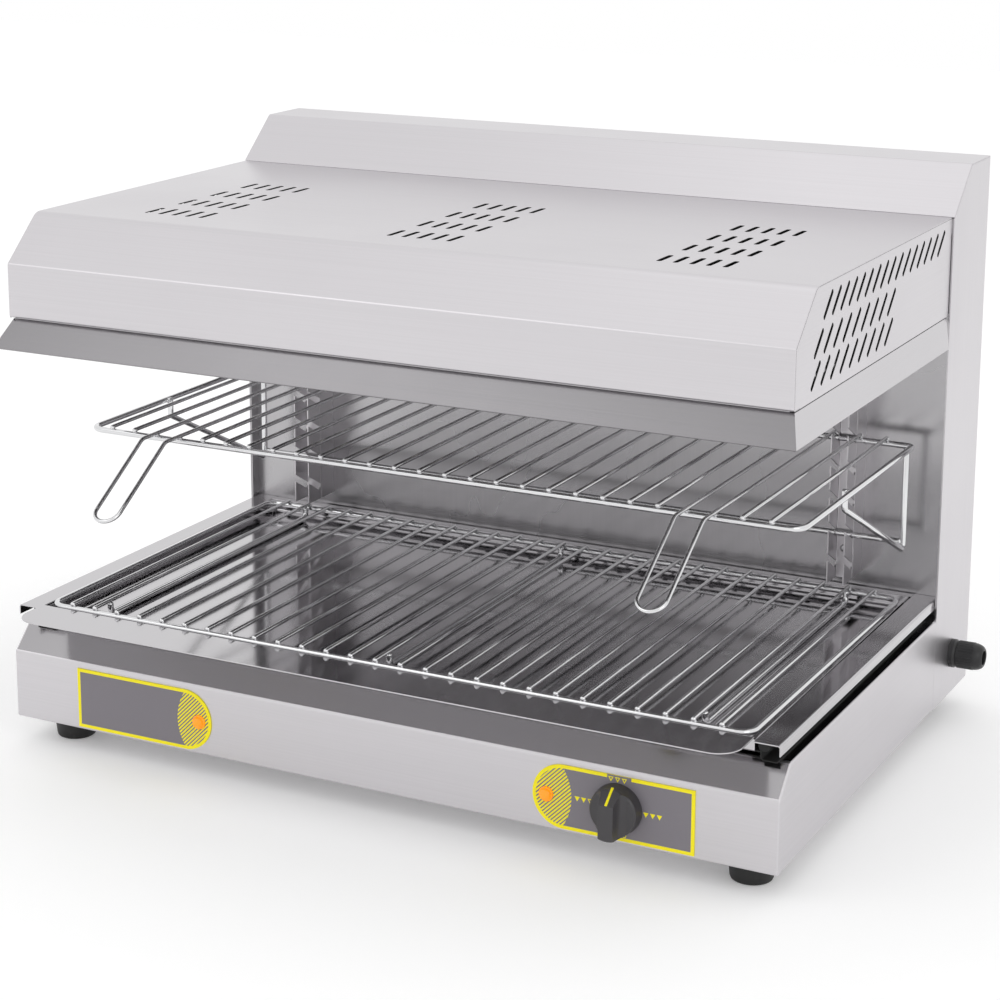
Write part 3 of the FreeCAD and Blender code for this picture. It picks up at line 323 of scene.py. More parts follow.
knob_grey = plain("knob_grey", (0.05, 0.047, 0.051), (0.34, 0.44), grain=2500.0)
black_plastic = plain("black_plastic", (0.012, 0.012, 0.013), (0.32, 0.42))
foot_rubber = plain("foot_rubber", (0.012, 0.012, 0.012), (0.5, 0.6))
ceramic = plain("ceramic_cap", (0.75, 0.72, 0.66), (0.55, 0.7))
quartz = plain("quartz_tube", (0.72, 0.70, 0.66), (0.12, 0.2))
plate_grey = plain("plate_grey", (0.21, 0.195, 0.205), (0.35, 0.4))
lamp_orange = plain("lamp_orange", (1.0, 0.33, 0.01), (0.12, 0.18))
lamp_glow = lamp_orange.node_tree.nodes["Principled BSDF"]
lamp_glow.inputs["Emission Color"].default_value = (1.0, 0.33, 0.01, 1.0)
lamp_glow.inputs["Emission Strength"].default_value = 0.3

# %% Quartz with a coil inside
# One wave of this texture is a full turn of 20 times the scaled place.
coil_quartz = plain("coil_quartz", (0.72, 0.70, 0.66), (0.12, 0.2))
coil_tree = coil_quartz.node_tree
coil_place = coil_tree.nodes.new("ShaderNodeTexCoord")
coil_bands = coil_tree.nodes.new("ShaderNodeTexWave")
coil_bands.bands_direction = "X"
coil_scale = 110.0
coil_bands.inputs["Scale"].default_value = coil_scale
coil_tint = coil_tree.nodes.new("ShaderNodeMix")
coil_tint.data_type = "RGBA"
coil_tint.inputs["A"].default_value = (0.30, 0.27, 0.24, 1.0)
coil_tint.inputs["B"].default_value = (0.78, 0.76, 0.72, 1.0)
coil_tree.links.new(coil_place.outputs["Object"], coil_bands.inputs["Vector"])
coil_tree.links.new(coil_bands.outputs["Color"], coil_tint.inputs["Factor"])
coil_tree.links.new(coil_tint.outputs["Result"], coil_tree.nodes["Principled BSDF"].inputs["Base Color"])
print("coil pitch in mm", round(1000 * math.tau / (20 * coil_scale), 2))

# %% [markdown]
# ## Printed plate
#
# The control plate is a grey foil with yellow print. Its round end carries a lens of fine
# slanted lines. The lens is where a circle from the plate's outer side still covers the
# foil, and the lines are a stripe pattern over the place across and up, so both are
# worked out from the object's own coordinates.

# %% Plate print
def printed_foil(name, lens_x, lens_z, lens_radius, pitch):
    """Grey foil with a lens of slanted yellow lines, in metres of the frame."""
    material, tree, shader = new_material(name)
    place = tree.nodes.new("ShaderNodeTexCoord")
    axes = tree.nodes.new("ShaderNodeSeparateXYZ")
    tree.links.new(place.outputs["Object"], axes.inputs[0])

    def sum_of(operation, first, second):
        node = tree.nodes.new("ShaderNodeMath")
        node.operation = operation
        for socket, value in zip(node.inputs, (first, second)):
            if isinstance(value, float):
                socket.default_value = value
            else:
                tree.links.new(value, socket)
        return node.outputs[0]

    off_x = sum_of("SUBTRACT", axes.outputs["X"], lens_x)
    off_z = sum_of("SUBTRACT", axes.outputs["Z"], lens_z)
    reach = sum_of("ADD", sum_of("MULTIPLY", off_x, off_x), sum_of("MULTIPLY", off_z, off_z))
    inside = sum_of("LESS_THAN", reach, lens_radius ** 2)
    slant = sum_of("MULTIPLY", sum_of("SUBTRACT", axes.outputs["Z"], axes.outputs["X"]), 0.7071 / pitch)
    line = sum_of("LESS_THAN", sum_of("FRACT", slant, 0.0), 0.52)
    mask = sum_of("MULTIPLY", inside, line)
    mix = tree.nodes.new("ShaderNodeMix")
    mix.data_type = "RGBA"
    mix.inputs["A"].default_value = (0.205, 0.19, 0.212, 1.0)
    mix.inputs["B"].default_value = (1.0, 0.87, 0.0, 1.0)
    tree.links.new(mask, mix.inputs["Factor"])
    grain = tree.nodes.new("ShaderNodeGroup")
    grain.node_tree = streaks
    grain.inputs["Stretch"].default_value = (1500.0, 1500.0, 1500.0)
    grain.inputs["Strength"].default_value = 0.12
    relief = tree.nodes.new("ShaderNodeBump")
    relief.inputs["Strength"].default_value = 0.12
    relief.inputs["Distance"].default_value = 0.0001
    toned = tree.nodes.new("ShaderNodeVectorMath")
    toned.operation = "SCALE"
    tree.links.new(mix.outputs["Result"], toned.inputs[0])
    tree.links.new(grain.outputs["Tone"], toned.inputs["Scale"])
    tree.links.new(toned.outputs[0], shader.inputs["Base Color"])
    tree.links.new(grain.outputs["Height"], relief.inputs["Height"])
    tree.links.new(relief.outputs["Normal"], shader.inputs["Normal"])
    shader.inputs["Roughness"].default_value = 0.38
    return material


plate_low, plate_high = (Vector(corner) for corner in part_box("control_plate_right"))
lens_height = (plate_low.z + plate_high.z) / 2
foil_right = printed_foil("printed_foil_right", plate_low.x - 0.0116, lens_height, 0.0496, 0.0027)
plate_low, plate_high = (Vector(corner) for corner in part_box("control_plate_left"))
foil_left = printed_foil("printed_foil_left", plate_high.x + 0.0116, lens_height, 0.0496, 0.0027)
yellow_print = plain("yellow_print", (1.0, 0.87, 0.0), (0.35, 0.42))
# A near-black finish used as painted shade: the hood's insides behind the vents and the steel tray runners in
# the dark gap under the deck.
painted_shade_black = plain("painted_shade_black", (0.012, 0.012, 0.012), (0.7, 0.8))

# %% [markdown]
# ## Dressing the CAD nodes
#
# Every CAD node gets the finish of its slot, so that nothing stays bare. Some differ from their slot: side
# sheets are brushed another way, the ladders are satin, and the steel tray runners are painted black as shade,
# because the gap under the deck lies in deep shadow.

# %% Dress the CAD nodes
finishes = {
    "steel": satin_front,
    "skirt_steel": skirt_steel,
    "polished_steel": polished,
    "chrome_wire": chrome,
    "zinc_fastener": zinc,
    "quartz": quartz,
    "ceramic": ceramic,
    "control_plate": plate_grey,
    "lamp": lamp_orange,
    "black_plastic": black_plastic,
    "foot_rubber": foot_rubber,
}
own_finishes = {
    "hood_cheek_left": satin_side,
    "hood_cheek_right": satin_side,
    "column_side_left": satin_column,
    "column_side_right": satin_column,
    "column_back_panel": satin_column,
    "cavity_back_wall": brushed_back,
    "ladder_channel_left": satin_column,
    "ladder_channel_right": satin_column,
    "ladder_spacer_left": satin_column,
    "ladder_spacer_right": satin_column,
    # The steel runners are painted black as shade for the dark gap under the deck.
    "tray_runner_left": painted_shade_black,
    "tray_runner_right": painted_shade_black,
}
for part in frame["record"]["subparts"]:
    node = nodes[part["node"]]
    finish = own_finishes.get(part["node"], finishes[part["material_slot"]])
    node.data.materials.clear()
    node.data.materials.append(finish)
print("dressed", len(nodes))

# %% [markdown]
# ## A workbench in millimetres
#
# The frame is in metres from the middle of the whole object. The real machine is measured
# in millimetres, and its handiest corner is the middle of the base's front bottom edge.
# Every piece is modelled from there in millimetres, and one matrix carries it into the
# frame when it is done. That keeps each object at the origin, unturned and unscaled.

# %% From the bench to the frame
shell_low, shell_high = (Vector(corner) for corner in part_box("base_shell"))
home = Vector(((shell_low.x + shell_high.x) / 2, shell_low.y, shell_low.z))
to_frame = Matrix.Translation(home) @ Matrix.Scale(0.001, 4)
print("bench corner at", [round(value, 4) for value in home])


# %% A finished piece
def finish_piece(name, bm, finishes, stands_for, smooth=35.0, soft_edge=0.0, closed=True):
    """Makes an object of a bmesh in millimetres, which stands for CAD nodes and rides with them."""
    bmesh.ops.remove_doubles(bm, verts=bm.verts, dist=0.001)
    if closed:
        bmesh.ops.recalc_face_normals(bm, faces=bm.faces)
    bmesh.ops.transform(bm, matrix=to_frame, verts=bm.verts)
    mesh = bpy.data.meshes.new(name)
    bm.to_mesh(mesh)
    bm.free()
    mesh.shade_smooth()
    mesh.set_sharp_from_angle(angle=math.radians(smooth))
    for finish in finishes:
        mesh.materials.append(finish)
    piece = bpy.data.objects.new(name, mesh)
    bpy.context.scene.collection.objects.link(piece)
    if soft_edge:
        soften(piece, soft_edge)
    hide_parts(*stands_for)
    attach(piece, nodes[stands_for[0]]["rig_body"])
    print(name, len(mesh.polygons), "faces")
    return piece


def soften(piece, width):
    """Rounds the sharp edges of a piece by a width in millimetres and evens out its shading."""
    edge = piece.modifiers.new("soft_edge", "BEVEL")
    edge.width = width / 1000
    edge.segments = 2
    edge.limit_method = "ANGLE"
    edge.angle_limit = math.radians(50)
    edge.harden_normals = False
    even = piece.modifiers.new("even_shading", "WEIGHTED_NORMAL")
    even.keep_sharp = True


# %% [markdown]
# ## Round wire
#
# The racks are bent from drawn wire. A wire starts as a capped circle. Each straight run
# extrudes its end face, and each bend spins that face about the bend's centre, just as a
# bending machine does it.

# %% Bent wire
def last_face(geometry):
    """The one face among the geometry that an operator made."""
    return [item for item in geometry if isinstance(item, bmesh.types.BMFace)][0]


def bent_wire(bm, corners, size, radii, sides=12, bend_steps=7):
    """A round wire through corners, with a bend of some radius at each inner corner."""
    corners = [Vector(corner) for corner in corners]
    run = corners[1] - corners[0]
    start = bmesh.ops.create_circle(bm, cap_ends=True, radius=size / 2, segments=sides)["verts"]
    aim = Matrix.Translation(corners[0]) @ run.to_track_quat("Z", "Y").to_matrix().to_4x4()
    bmesh.ops.transform(bm, matrix=aim, verts=start)
    end = start[0].link_faces[0]
    place = corners[0]
    for number, corner in enumerate(corners[1:], 1):
        into = (corner - corners[number - 1]).normalized()
        tangent = 0.0
        if number < len(corners) - 1:
            out = (corners[number + 1] - corner).normalized()
            turn = into.angle(out)
            tangent = radii[number - 1] * math.tan(turn / 2)
        stop = corner - into * tangent
        if (stop - place).length > 0.001:
            drawn = bmesh.ops.extrude_face_region(bm, geom=[end])["geom"]
            if len(end.edges[0].link_faces) > 2:
                bmesh.ops.delete(bm, geom=[end], context="FACES_ONLY")
            end = last_face(drawn)
            bmesh.ops.translate(bm, verts=end.verts, vec=stop - place)
        place = stop
        if tangent:
            axis = into.cross(out).normalized()
            centre = stop + axis.cross(into) * radii[number - 1]
            spun = bmesh.ops.spin(bm, geom=[end], cent=centre, axis=axis, angle=turn,
                                  steps=bend_steps)["geom_last"]
            if end.is_valid:
                bmesh.ops.delete(bm, geom=[end], context="FACES_ONLY")
            end = last_face(spun)
            place = corner + out * tangent
    return end


def round_ends(bm, ends, size):
    """Rounds the rims of a wire's end faces."""
    rims = [edge for end in ends for edge in end.edges]
    bmesh.ops.bevel(bm, geom=rims, offset=size * 0.3, offset_type="OFFSET", segments=3, profile=0.5,
                    affect="EDGES", material=-1)


def weld_bead(bm, place, size, squash=(1.0, 1.0, 1.0)):
    """A small rounded bead of weld, of a few dozen faces."""
    turn = Matrix.Translation(place) @ Matrix.Diagonal((*squash, 1.0))
    bmesh.ops.create_uvsphere(bm, u_segments=8, v_segments=6, radius=size / 2, matrix=turn)


# %% [markdown]
# ## The two wire racks
#
# Each rack is a frame rod with thin bars welded on top. The lower rack has 27 of them. The
# upper rack has 23, because the wires of its handles take the place of four. A spot weld
# leaves a small bead where a bar crosses the rod, and the bars end in rounded beads. The
# rod is one loop, so its two end caps are removed and its ends merged.

# %% Rack grid
def rack_loop(bm, half, front, rear, height, rear_bend):
    """A closed frame rod with rounded corners."""
    corners = [(0, rear, height), (half, rear, height), (half, front, height)]
    corners += [(-half, front, height), (-half, rear, height), (0, rear, height)]
    bent_wire(bm, corners, 6.0, [rear_bend, 14.0, 14.0, rear_bend], sides=14, bend_steps=8)
    caps = [face for face in bm.faces if len(face.verts) == 14]
    bmesh.ops.delete(bm, geom=caps, context="FACES_ONLY")
    print("loop caps removed", len(caps))


def rack_bars(bm, places, front, rear, height):
    """Straight bars on top of both rails, with weld beads at the crossings."""
    for x in places:
        centre = Vector((x, (front + rear) / 2, height + 5.0))
        turn = Matrix.Translation(centre) @ Matrix.Rotation(math.pi / 2, 4, "X")
        bar = bmesh.ops.create_cone(bm, cap_ends=True, segments=10, radius1=2.0, radius2=2.0,
                                    depth=rear - front + 4.0, matrix=turn)["verts"]
        caps = [face for face in {face for vert in bar for face in vert.link_faces} if len(face.verts) == 10]
        rims = [edge for face in caps for edge in face.edges]
        bmesh.ops.bevel(bm, geom=rims, offset=1.2, offset_type="OFFSET", segments=2, profile=0.5,
                        affect="EDGES", material=-1)
        weld_bead(bm, (x, front - 0.6, height + 4.4), 5.2, (1.0, 0.8, 1.0))
        weld_bead(bm, (x, rear + 0.6, height + 4.2), 5.0, (1.0, 0.8, 1.0))
        weld_bead(bm, (x, front, height + 3.0), 4.6, (1.25, 0.9, 0.55))


lower_half, lower_front, lower_rear, lower_rail = 366.0, 17.0, 421.8, 116.0
upper_half, upper_front, upper_rear, upper_rail = 374.5, 103.0, 418.1, 274.4
bar_spaces = 28
handle_steps = (10, 11)
lower_pitch = 2 * lower_half / bar_spaces
upper_pitch = 2 * upper_half / bar_spaces

bm = bmesh.new()
rack_loop(bm, lower_half, lower_front, lower_rear, lower_rail, 14.0)
rack_bars(bm, [step * lower_pitch for step in range(-13, 14)], lower_front, lower_rear, lower_rail)
finish_piece("lower_rack_wires", bm, [chrome], ["lower_rack_grid"])

bm = bmesh.new()
rack_loop(bm, upper_half, upper_front, upper_rear, upper_rail, 6.0)
rack_bars(bm, [step * upper_pitch for step in range(-13, 14) if abs(step) not in handle_steps],
          upper_front, upper_rear, upper_rail)
finish_piece("upper_rack_wires", bm, [chrome], ["upper_rack_grid"])


# %% Rack handles, braces and crossbar
def side_wire(name, corners, size, radii, node, beads=()):
    """One bent wire as a piece of its own, with beads where it is welded."""
    bm = bmesh.new()
    bent_wire(bm, corners, size, radii, sides=14, bend_steps=9)
    round_ends(bm, [face for face in bm.faces if len(face.verts) == 14], size)
    for place, bead_size, squash in beads:
        weld_bead(bm, place, bead_size, squash)
    return finish_piece(name, bm, [chrome], [node])


handle_height = upper_rail + 5.0
handle_knee = upper_front - 26.0
handle_length, handle_slope = 106.6, math.radians(33.1)
handle_tip = Vector((0, handle_knee - handle_length * math.cos(handle_slope),
                     handle_height - handle_length * math.sin(handle_slope)))
handle_bend = upper_pitch / 2 - 0.01
crossbar_height = 176.9
brace_place = upper_half - 6.0
brace_front = upper_rear - 183
for name, sign in (("left", -1), ("right", 1)):
    inner, outer = (sign * step * upper_pitch for step in handle_steps)
    side_wire(f"rack_handle_{name}", [
        (inner, upper_rear + 2, handle_height),
        (inner, handle_knee, handle_height),
        (inner, handle_tip.y, handle_tip.z),
        (outer, handle_tip.y, handle_tip.z),
        (outer, handle_knee, handle_height),
        (outer, upper_rear + 2, handle_height),
    ], 4.0, [14.0, handle_bend, handle_bend, 14.0], f"upper_rack_handle_{name}", beads=[
        ((x, y, upper_rail + 3.0), 4.6, (1.25, 0.9, 0.55))
        for x in (inner, outer) for y in (upper_front, upper_rear)
    ])
    brace = sign * brace_place
    side_wire(f"rack_brace_{name}", [
        (brace, brace_front, upper_rail + 3),
        (brace, brace_front, upper_rail - 16.4),
        (brace, upper_rear, crossbar_height - 8.5),
        (brace, upper_rear, upper_rail - 3),
    ], 6.0, [5.0, 5.0], f"upper_rack_brace_{name}", beads=[
        ((brace + sign * 3, brace_front, upper_rail), 5.0, (0.6, 1.0, 1.2)),
        ((brace, upper_rear, upper_rail - 3), 7.0, (1.0, 0.9, 0.4)),
    ])
crossbar_ends = [(x, upper_rear, crossbar_height) for x in (-brace_place + 3, brace_place - 3)]
side_wire("rack_crossbar", crossbar_ends, 6.0, [], "upper_rack_crossbar",
          beads=[(place, 7.0, (0.5, 1.0, 1.0)) for place in crossbar_ends])
skid_height, skid_front, skid_rear = 107.3, lower_front + 26, lower_rear - 8
for name, step in (("left", -12), ("middle", 0), ("right", 12)):
    x = step * lower_pitch
    side_wire(f"rack_skid_{name}", [
        (x, skid_front, lower_rail + 3),
        (x, skid_front, skid_height),
        (x, skid_rear, skid_height),
        (x, skid_rear, lower_rail + 3),
    ], 6.0, [7.0, 7.0], f"lower_rack_skid_{name}")

# %% [markdown]
# ## Wire guard under the heating tubes
#
# A light guard of 3 mm wire keeps hands and food off the hot tubes. It is seen from below.

# %% Guard
bm = bmesh.new()
guard_half, guard_front, guard_rear, guard_height = 386.0, 25.0, 410.0, 398.8
bent_wire(bm, [(-guard_half, guard_rear, guard_height), (-guard_half, guard_front, guard_height),
               (guard_half, guard_front, guard_height), (guard_half, guard_rear, guard_height)],
          3.0, [6.0, 6.0])
bent_wire(bm, [(-guard_half, guard_rear, guard_height), (guard_half, guard_rear, guard_height)], 3.0, [])
for step in range(1, 10):
    x = guard_half * (2 * step / 10 - 1)
    bent_wire(bm, [(x, y, guard_height - 3) for y in (guard_front - 1.5, guard_rear + 1.5)], 3.0, [])
    for y in (guard_front, guard_rear):
        weld_bead(bm, (x, y, guard_height - 1.5), 3.4, (1.2, 1.0, 0.6))
finish_piece("tube_guard_wires", bm, [chrome], ["element_guard"])

# %% [markdown]
# ## Sheet metal
#
# The body is folded from thin sheet. A sheet starts as a run of corners, is drawn out along
# its width, and its folds are bevelled to arcs. Openings are cut by filling a flat face
# again round loops of edges, and the sheet gets its gauge last, towards its inside.

# %% Folded sheet
def new_verts(geometry):
    """The vertices among the geometry that an operator made."""
    return [item for item in geometry if isinstance(item, bmesh.types.BMVert)]


def folded_strip(bm, corners, width, folds, fold_steps=5):
    """A sheet surface along a run of corners, drawn out along a width, with a radius at each fold."""
    run = [bm.verts.new(corner) for corner in corners]
    edges = [bm.edges.new(pair) for pair in zip(run, run[1:])]
    drawn = bmesh.ops.extrude_edge_only(bm, edges=edges)["geom"]
    bmesh.ops.translate(bm, verts=new_verts(drawn), vec=width)
    jobs = []
    for before, corner, after, radius in zip(run, run[1:], run[2:], folds):
        turn = (corner.co - before.co).angle(after.co - corner.co)
        crease = [edge for edge in corner.link_edges if edge not in edges]
        jobs.append((crease, radius * math.tan(turn / 2)))
    for crease, reach in jobs:
        bmesh.ops.bevel(bm, geom=crease, offset=reach, offset_type="OFFSET", segments=fold_steps, profile=0.5,
                        affect="EDGES", material=-1)


def flat_sheet(bm, corners, folds=()):
    """A flat face inside corners, with chosen corners rounded, as pairs of number and radius."""
    face = bm.faces.new([bm.verts.new(corner) for corner in corners])
    rounded = list(face.verts)
    for number, radius in folds:
        vert = rounded[number]
        sides = [edge.other_vert(vert).co - vert.co for edge in vert.link_edges]
        turn = math.pi - sides[0].angle(sides[1])
        bmesh.ops.bevel(bm, geom=[vert], offset=radius * math.tan(turn / 2), offset_type="OFFSET", segments=6,
                        profile=0.5, affect="VERTICES", material=-1)


def face_towards(bm, direction):
    """The largest flat face that looks along a direction, either way round."""
    direction = Vector(direction)
    fitting = [face for face in bm.faces if abs(face.normal.dot(direction)) > 0.999]
    return max(fitting, key=lambda face: face.calc_area())


def slot_loop(bm, centre, along, side, length, width):
    """Edges of a slot with round ends: a circle whose halves are pulled apart."""
    along, side = Vector(along).normalized(), Vector(side).normalized()
    made = bmesh.ops.create_circle(bm, cap_ends=False, radius=width / 2, segments=14)["verts"]
    for sign in (-1, 1):
        half = [vert for vert in made if vert.co.x * sign > 0]
        bmesh.ops.translate(bm, verts=half, vec=(sign * (length - width) / 2, 0, 0))
    turn = Matrix((along, side, along.cross(side))).transposed().to_4x4()
    bmesh.ops.transform(bm, matrix=Matrix.Translation(centre) @ turn, verts=made)
    return list({edge for vert in made for edge in vert.link_edges})


def hole_loop(bm, centre, normal, size, steps=28):
    """Edges of a round hole."""
    turn = Matrix.Translation(centre) @ Vector(normal).to_track_quat("Z", "Y").to_matrix().to_4x4()
    made = bmesh.ops.create_circle(bm, cap_ends=False, radius=size / 2, segments=steps, matrix=turn)["verts"]
    return list({edge for vert in made for edge in vert.link_edges})


def pierce(bm, face, loops):
    """Fills a flat face again, round the loops of edges of its openings."""
    normal = face.normal.copy()
    slot_number = face.material_index
    rim = list(face.edges)
    bmesh.ops.delete(bm, geom=[face], context="FACES_ONLY")
    edges = rim + [edge for loop in loops for edge in loop]
    made = bmesh.ops.triangle_fill(bm, use_beauty=True, use_dissolve=False, edges=edges,
                                   normal=normal)["geom"]
    for item in made:
        if isinstance(item, bmesh.types.BMFace):
            item.material_index = slot_number


def give_gauge(bm, gauge, outward, inside_shade_slot=None):
    """Turns all faces outwards, judged by the largest face along a direction, and thickens inwards."""
    bmesh.ops.remove_doubles(bm, verts=bm.verts, dist=0.001)
    bmesh.ops.recalc_face_normals(bm, faces=bm.faces)
    if face_towards(bm, outward).normal.dot(Vector(outward)) < 0:
        bmesh.ops.reverse_faces(bm, faces=bm.faces)
    outside = set(bm.faces)
    bmesh.ops.solidify(bm, geom=bm.faces[:], thickness=gauge)
    # Inside faces can take a near-black slot, a painted shade for insides that lie in the dark.
    if inside_shade_slot is not None:
        for face in bm.faces:
            if face not in outside and any(vert.link_faces for vert in face.verts):
                face.material_index = inside_shade_slot


sheet_gauge = 1.2
print("sheet gauge", sheet_gauge)

# %% [markdown]
# ## Hood
#
# The hood's cover is one folded sheet with a front, a sloped face, a top and two flanges.
# Three groups of vents let the heat out of its top. Two cheeks close its ends, flush with
# the cover, and their slanted vents lie in three rows.

# %% Hood cover
bm = bmesh.new()
hood_half, hood_bottom, hood_top = 398.0, 403.0, 499.3
folded_strip(bm, [(-hood_half, 24, hood_bottom), (-hood_half, 10, hood_bottom), (-hood_half, 10, 455.6),
                  (-hood_half, 57.3, hood_top), (-hood_half, 437, hood_top), (-hood_half, 437, 483.3)],
             (2 * hood_half, 0, 0), [2.7, 3.2, 14.0, 2.7], fold_steps=8)
group_pitch, vent_pitch, row_pitch = 268.0, 15.4, 56.9
first_row, row_middle = 101.0, 15.0
top_vent_length, top_vent_width = 31.0, 5.0
vents = []
for group in (-1, 0, 1):
    for row in range(4):
        for step in range(-2, 3):
            centre = (group * group_pitch + step * vent_pitch,
                      first_row + row * row_pitch + row_middle, hood_top)
            vents.append(slot_loop(bm, centre, (0, 1, 0), (1, 0, 0), top_vent_length, top_vent_width))
pierce(bm, face_towards(bm, (0, 0, 1)), vents)
# The cover's inside is painted near black as shade, for the dark hood seen through its vents.
give_gauge(bm, sheet_gauge, (0, 0, 1), inside_shade_slot=1)
for face in bm.faces:
    if abs(face.normal.x) > 0.9 and abs(face.calc_center_median().x) > hood_half - 0.1:
        face.material_index = 0
finish_piece("hood_cover_sheet", bm, [satin_front, painted_shade_black], ["hood_cover"], soft_edge=0.45, closed=False)

# %% Hood cheeks
cheek_front, cheek_depth = 10.0, 427.0
cheek_vent_length, cheek_vent_width = 30.5, 5.2
vent_rows = [(16, 75.9, 20.2, 0.743), (9, 54.9, 49.6, 0.45), (9, 49.8, 76.0, 0.45)]
for name, sign in (("left", -1), ("right", 1)):
    bm = bmesh.new()
    x = sign * hood_half
    outline = [(11.2, hood_bottom), (11.2, 455.1), (57.8, 498.1), (435.8, 498.1), (435.8, hood_bottom)]
    flat_sheet(bm, [(x, y, z) for y, z in outline], [(2, 12.0), (3, 1.5)])
    vents = []
    for count, start, drop, share in vent_rows:
        for step in range(count):
            centre = (x, cheek_front + start + step * cheek_depth * share / (count - 1), hood_top - drop)
            vents.append(slot_loop(bm, centre, (0, 1, 1), (0, -1, 1), cheek_vent_length, cheek_vent_width))
    pierce(bm, face_towards(bm, (1, 0, 0)), vents)
    # The cheeks' insides are painted near black as shade, like the cover's.
    give_gauge(bm, sheet_gauge, (sign, 0, 0), inside_shade_slot=1)
    finish_piece(f"hood_cheek_sheet_{name}", bm, [satin_side, painted_shade_black], [f"hood_cheek_{name}"],
                 soft_edge=0.3, closed=False)

# %% [markdown]
# ## Skirt round the reflector
#
# A bright, flared frame hangs below the hood and hides the tubes. It starts as a flat
# rectangle. Three of its edges are drawn down and outwards, and its middle is cut away.
# The real skirt looks like one sheet of one steel, and still its sides look paler than its front. The room
# round it is unknown, so the front gets a darker copy of the steel as a painted reflection, and the sides the
# lit copy.

# %% Skirt
bm = bmesh.new()
skirt_half, skirt_front, skirt_rear, skirt_top, skirt_drop = 396.7, 14.9, 436.0, 401.5, 25.9
side_flare, front_flare, rear_setback = 10.0, 5.0, 21.0
top = bm.faces.new([bm.verts.new(corner) for corner in (
    (-skirt_half, skirt_front, skirt_top), (skirt_half, skirt_front, skirt_top),
    (skirt_half, skirt_rear, skirt_top), (-skirt_half, skirt_rear, skirt_top))])
walls = [edge for edge in top.edges if not all(vert.co.y == skirt_rear for vert in edge.verts)]
drawn = bmesh.ops.extrude_edge_only(bm, edges=walls)["geom"]
lower = new_verts(drawn)
for vert in lower:
    forward = front_flare if vert.co.y == skirt_front else rear_setback
    bmesh.ops.translate(bm, verts=[vert], vec=(math.copysign(side_flare, vert.co.x), -forward, -skirt_drop))
bmesh.ops.inset_region(bm, faces=[top], thickness=20.0, use_even_offset=True)
bmesh.ops.delete(bm, geom=[top], context="FACES")
give_gauge(bm, sheet_gauge, (0, 0, 1))
# The sides take the lit copy and the front the darker one: a painted reflection on one sheet.
for face in bm.faces:
    if abs(face.normal.x) > 0.8:
        face.material_index = 1
finish_piece("flared_skirt", bm, [skirt_steel, skirt_side], ["reflector_skirt"], soft_edge=0.35, closed=False)

# %% [markdown]
# ## Base
#
# The base is a low box with a slanted upper front, where crumbs slide off. Its front and sides are satin. The
# slanted face and the top are polished, and painted darker as shade, because the slanted face lies in the dark
# under the tray's lip.

# %% Base shell
bm = bmesh.new()
base_half, base_depth, base_height, slant = 400.0, 437.0, 94.0, 26.0
lamp_x, knob_x, plate_middle, lamp_hole, shaft_hole = 183.0, 252.0, 33.0, 12.2, 10.2
profile = [(0, 0), (0, base_height - slant), (slant, base_height), (base_depth, base_height), (base_depth, 0)]
side = bm.faces.new([bm.verts.new((-base_half, y, z)) for y, z in profile])
drawn = bmesh.ops.extrude_face_region(bm, geom=[side])["geom"]
bmesh.ops.translate(bm, verts=new_verts(drawn), vec=(2 * base_half, 0, 0))
bmesh.ops.recalc_face_normals(bm, faces=bm.faces)
rear = face_towards(bm, (0, 1, 0))
# Upward faces take the darker steel, a painted shade for the dark under the tray's lip.
for face in bm.faces:
    if face.normal.z > 0.5:
        face.material_index = 1
    if face.normal.y > 0.9:
        rear = face
    if abs(face.normal.x) > 0.9:
        face.material_index = 2
folds = [edge for edge in bm.edges if not any(face is rear for face in edge.link_faces)]
bmesh.ops.bevel(bm, geom=folds, offset=2.0, offset_type="OFFSET", segments=4, profile=0.5,
                affect="EDGES", material=0)
front = [face for face in bm.faces if face.normal.y < -0.999]
front = max(front, key=lambda face: face.calc_area())
openings = [hole_loop(bm, (x, 0, plate_middle), (0, 1, 0), lamp_hole) for x in (-lamp_x, lamp_x)]
openings.append(hole_loop(bm, (knob_x, 0, plate_middle), (0, 1, 0), shaft_hole))
pierce(bm, front, openings)
bottom = [face for face in bm.faces if face.normal.z < -0.999]
bottom = max(bottom, key=lambda face: face.calc_area())
bmesh.ops.inset_region(bm, faces=[bottom], thickness=13.0, use_even_offset=True)
rear = [face for face in bm.faces if face.normal.y > 0.999]
bmesh.ops.delete(bm, geom=[bottom] + rear, context="FACES")
bmesh.ops.solidify(bm, geom=bm.faces[:], thickness=sheet_gauge)
finish_piece("base_sheet", bm, [satin_front, slant_painted_shade, satin_side], ["base_shell"],
             soft_edge=0.25, closed=False)

# %% [markdown]
# ## Rear column
#
# The column is made of two side panels, a folded top and a vented back. The sides meet the
# base and the hood in a straight seam, which shows as a fine line.

# %% Column
column_front, column_rear, column_top, slope_rear = 437.0, 552.0, 544.0, 489.0
gland_y, gland_z, gland_hole = 495.0, 43.0, 20.2
for name, sign in (("left", -1), ("right", 1)):
    bm = bmesh.new()
    x = sign * base_half
    top, rear = column_top - sheet_gauge, column_rear - sheet_gauge
    outline = [(column_front, 0), (column_front, hood_top - 1.8), (slope_rear + 0.5, top),
               (rear, top), (rear, 0)]
    flat_sheet(bm, [(x, y, z) for y, z in outline], [(2, 2.7)])
    if sign > 0:
        pierce(bm, face_towards(bm, (1, 0, 0)), [hole_loop(bm, (x, gland_y, gland_z), (1, 0, 0), gland_hole)])
    give_gauge(bm, sheet_gauge, (sign, 0, 0))
    finish_piece(f"column_side_sheet_{name}", bm, [satin_column], [f"column_side_{name}"],
                 soft_edge=0.55, closed=False)

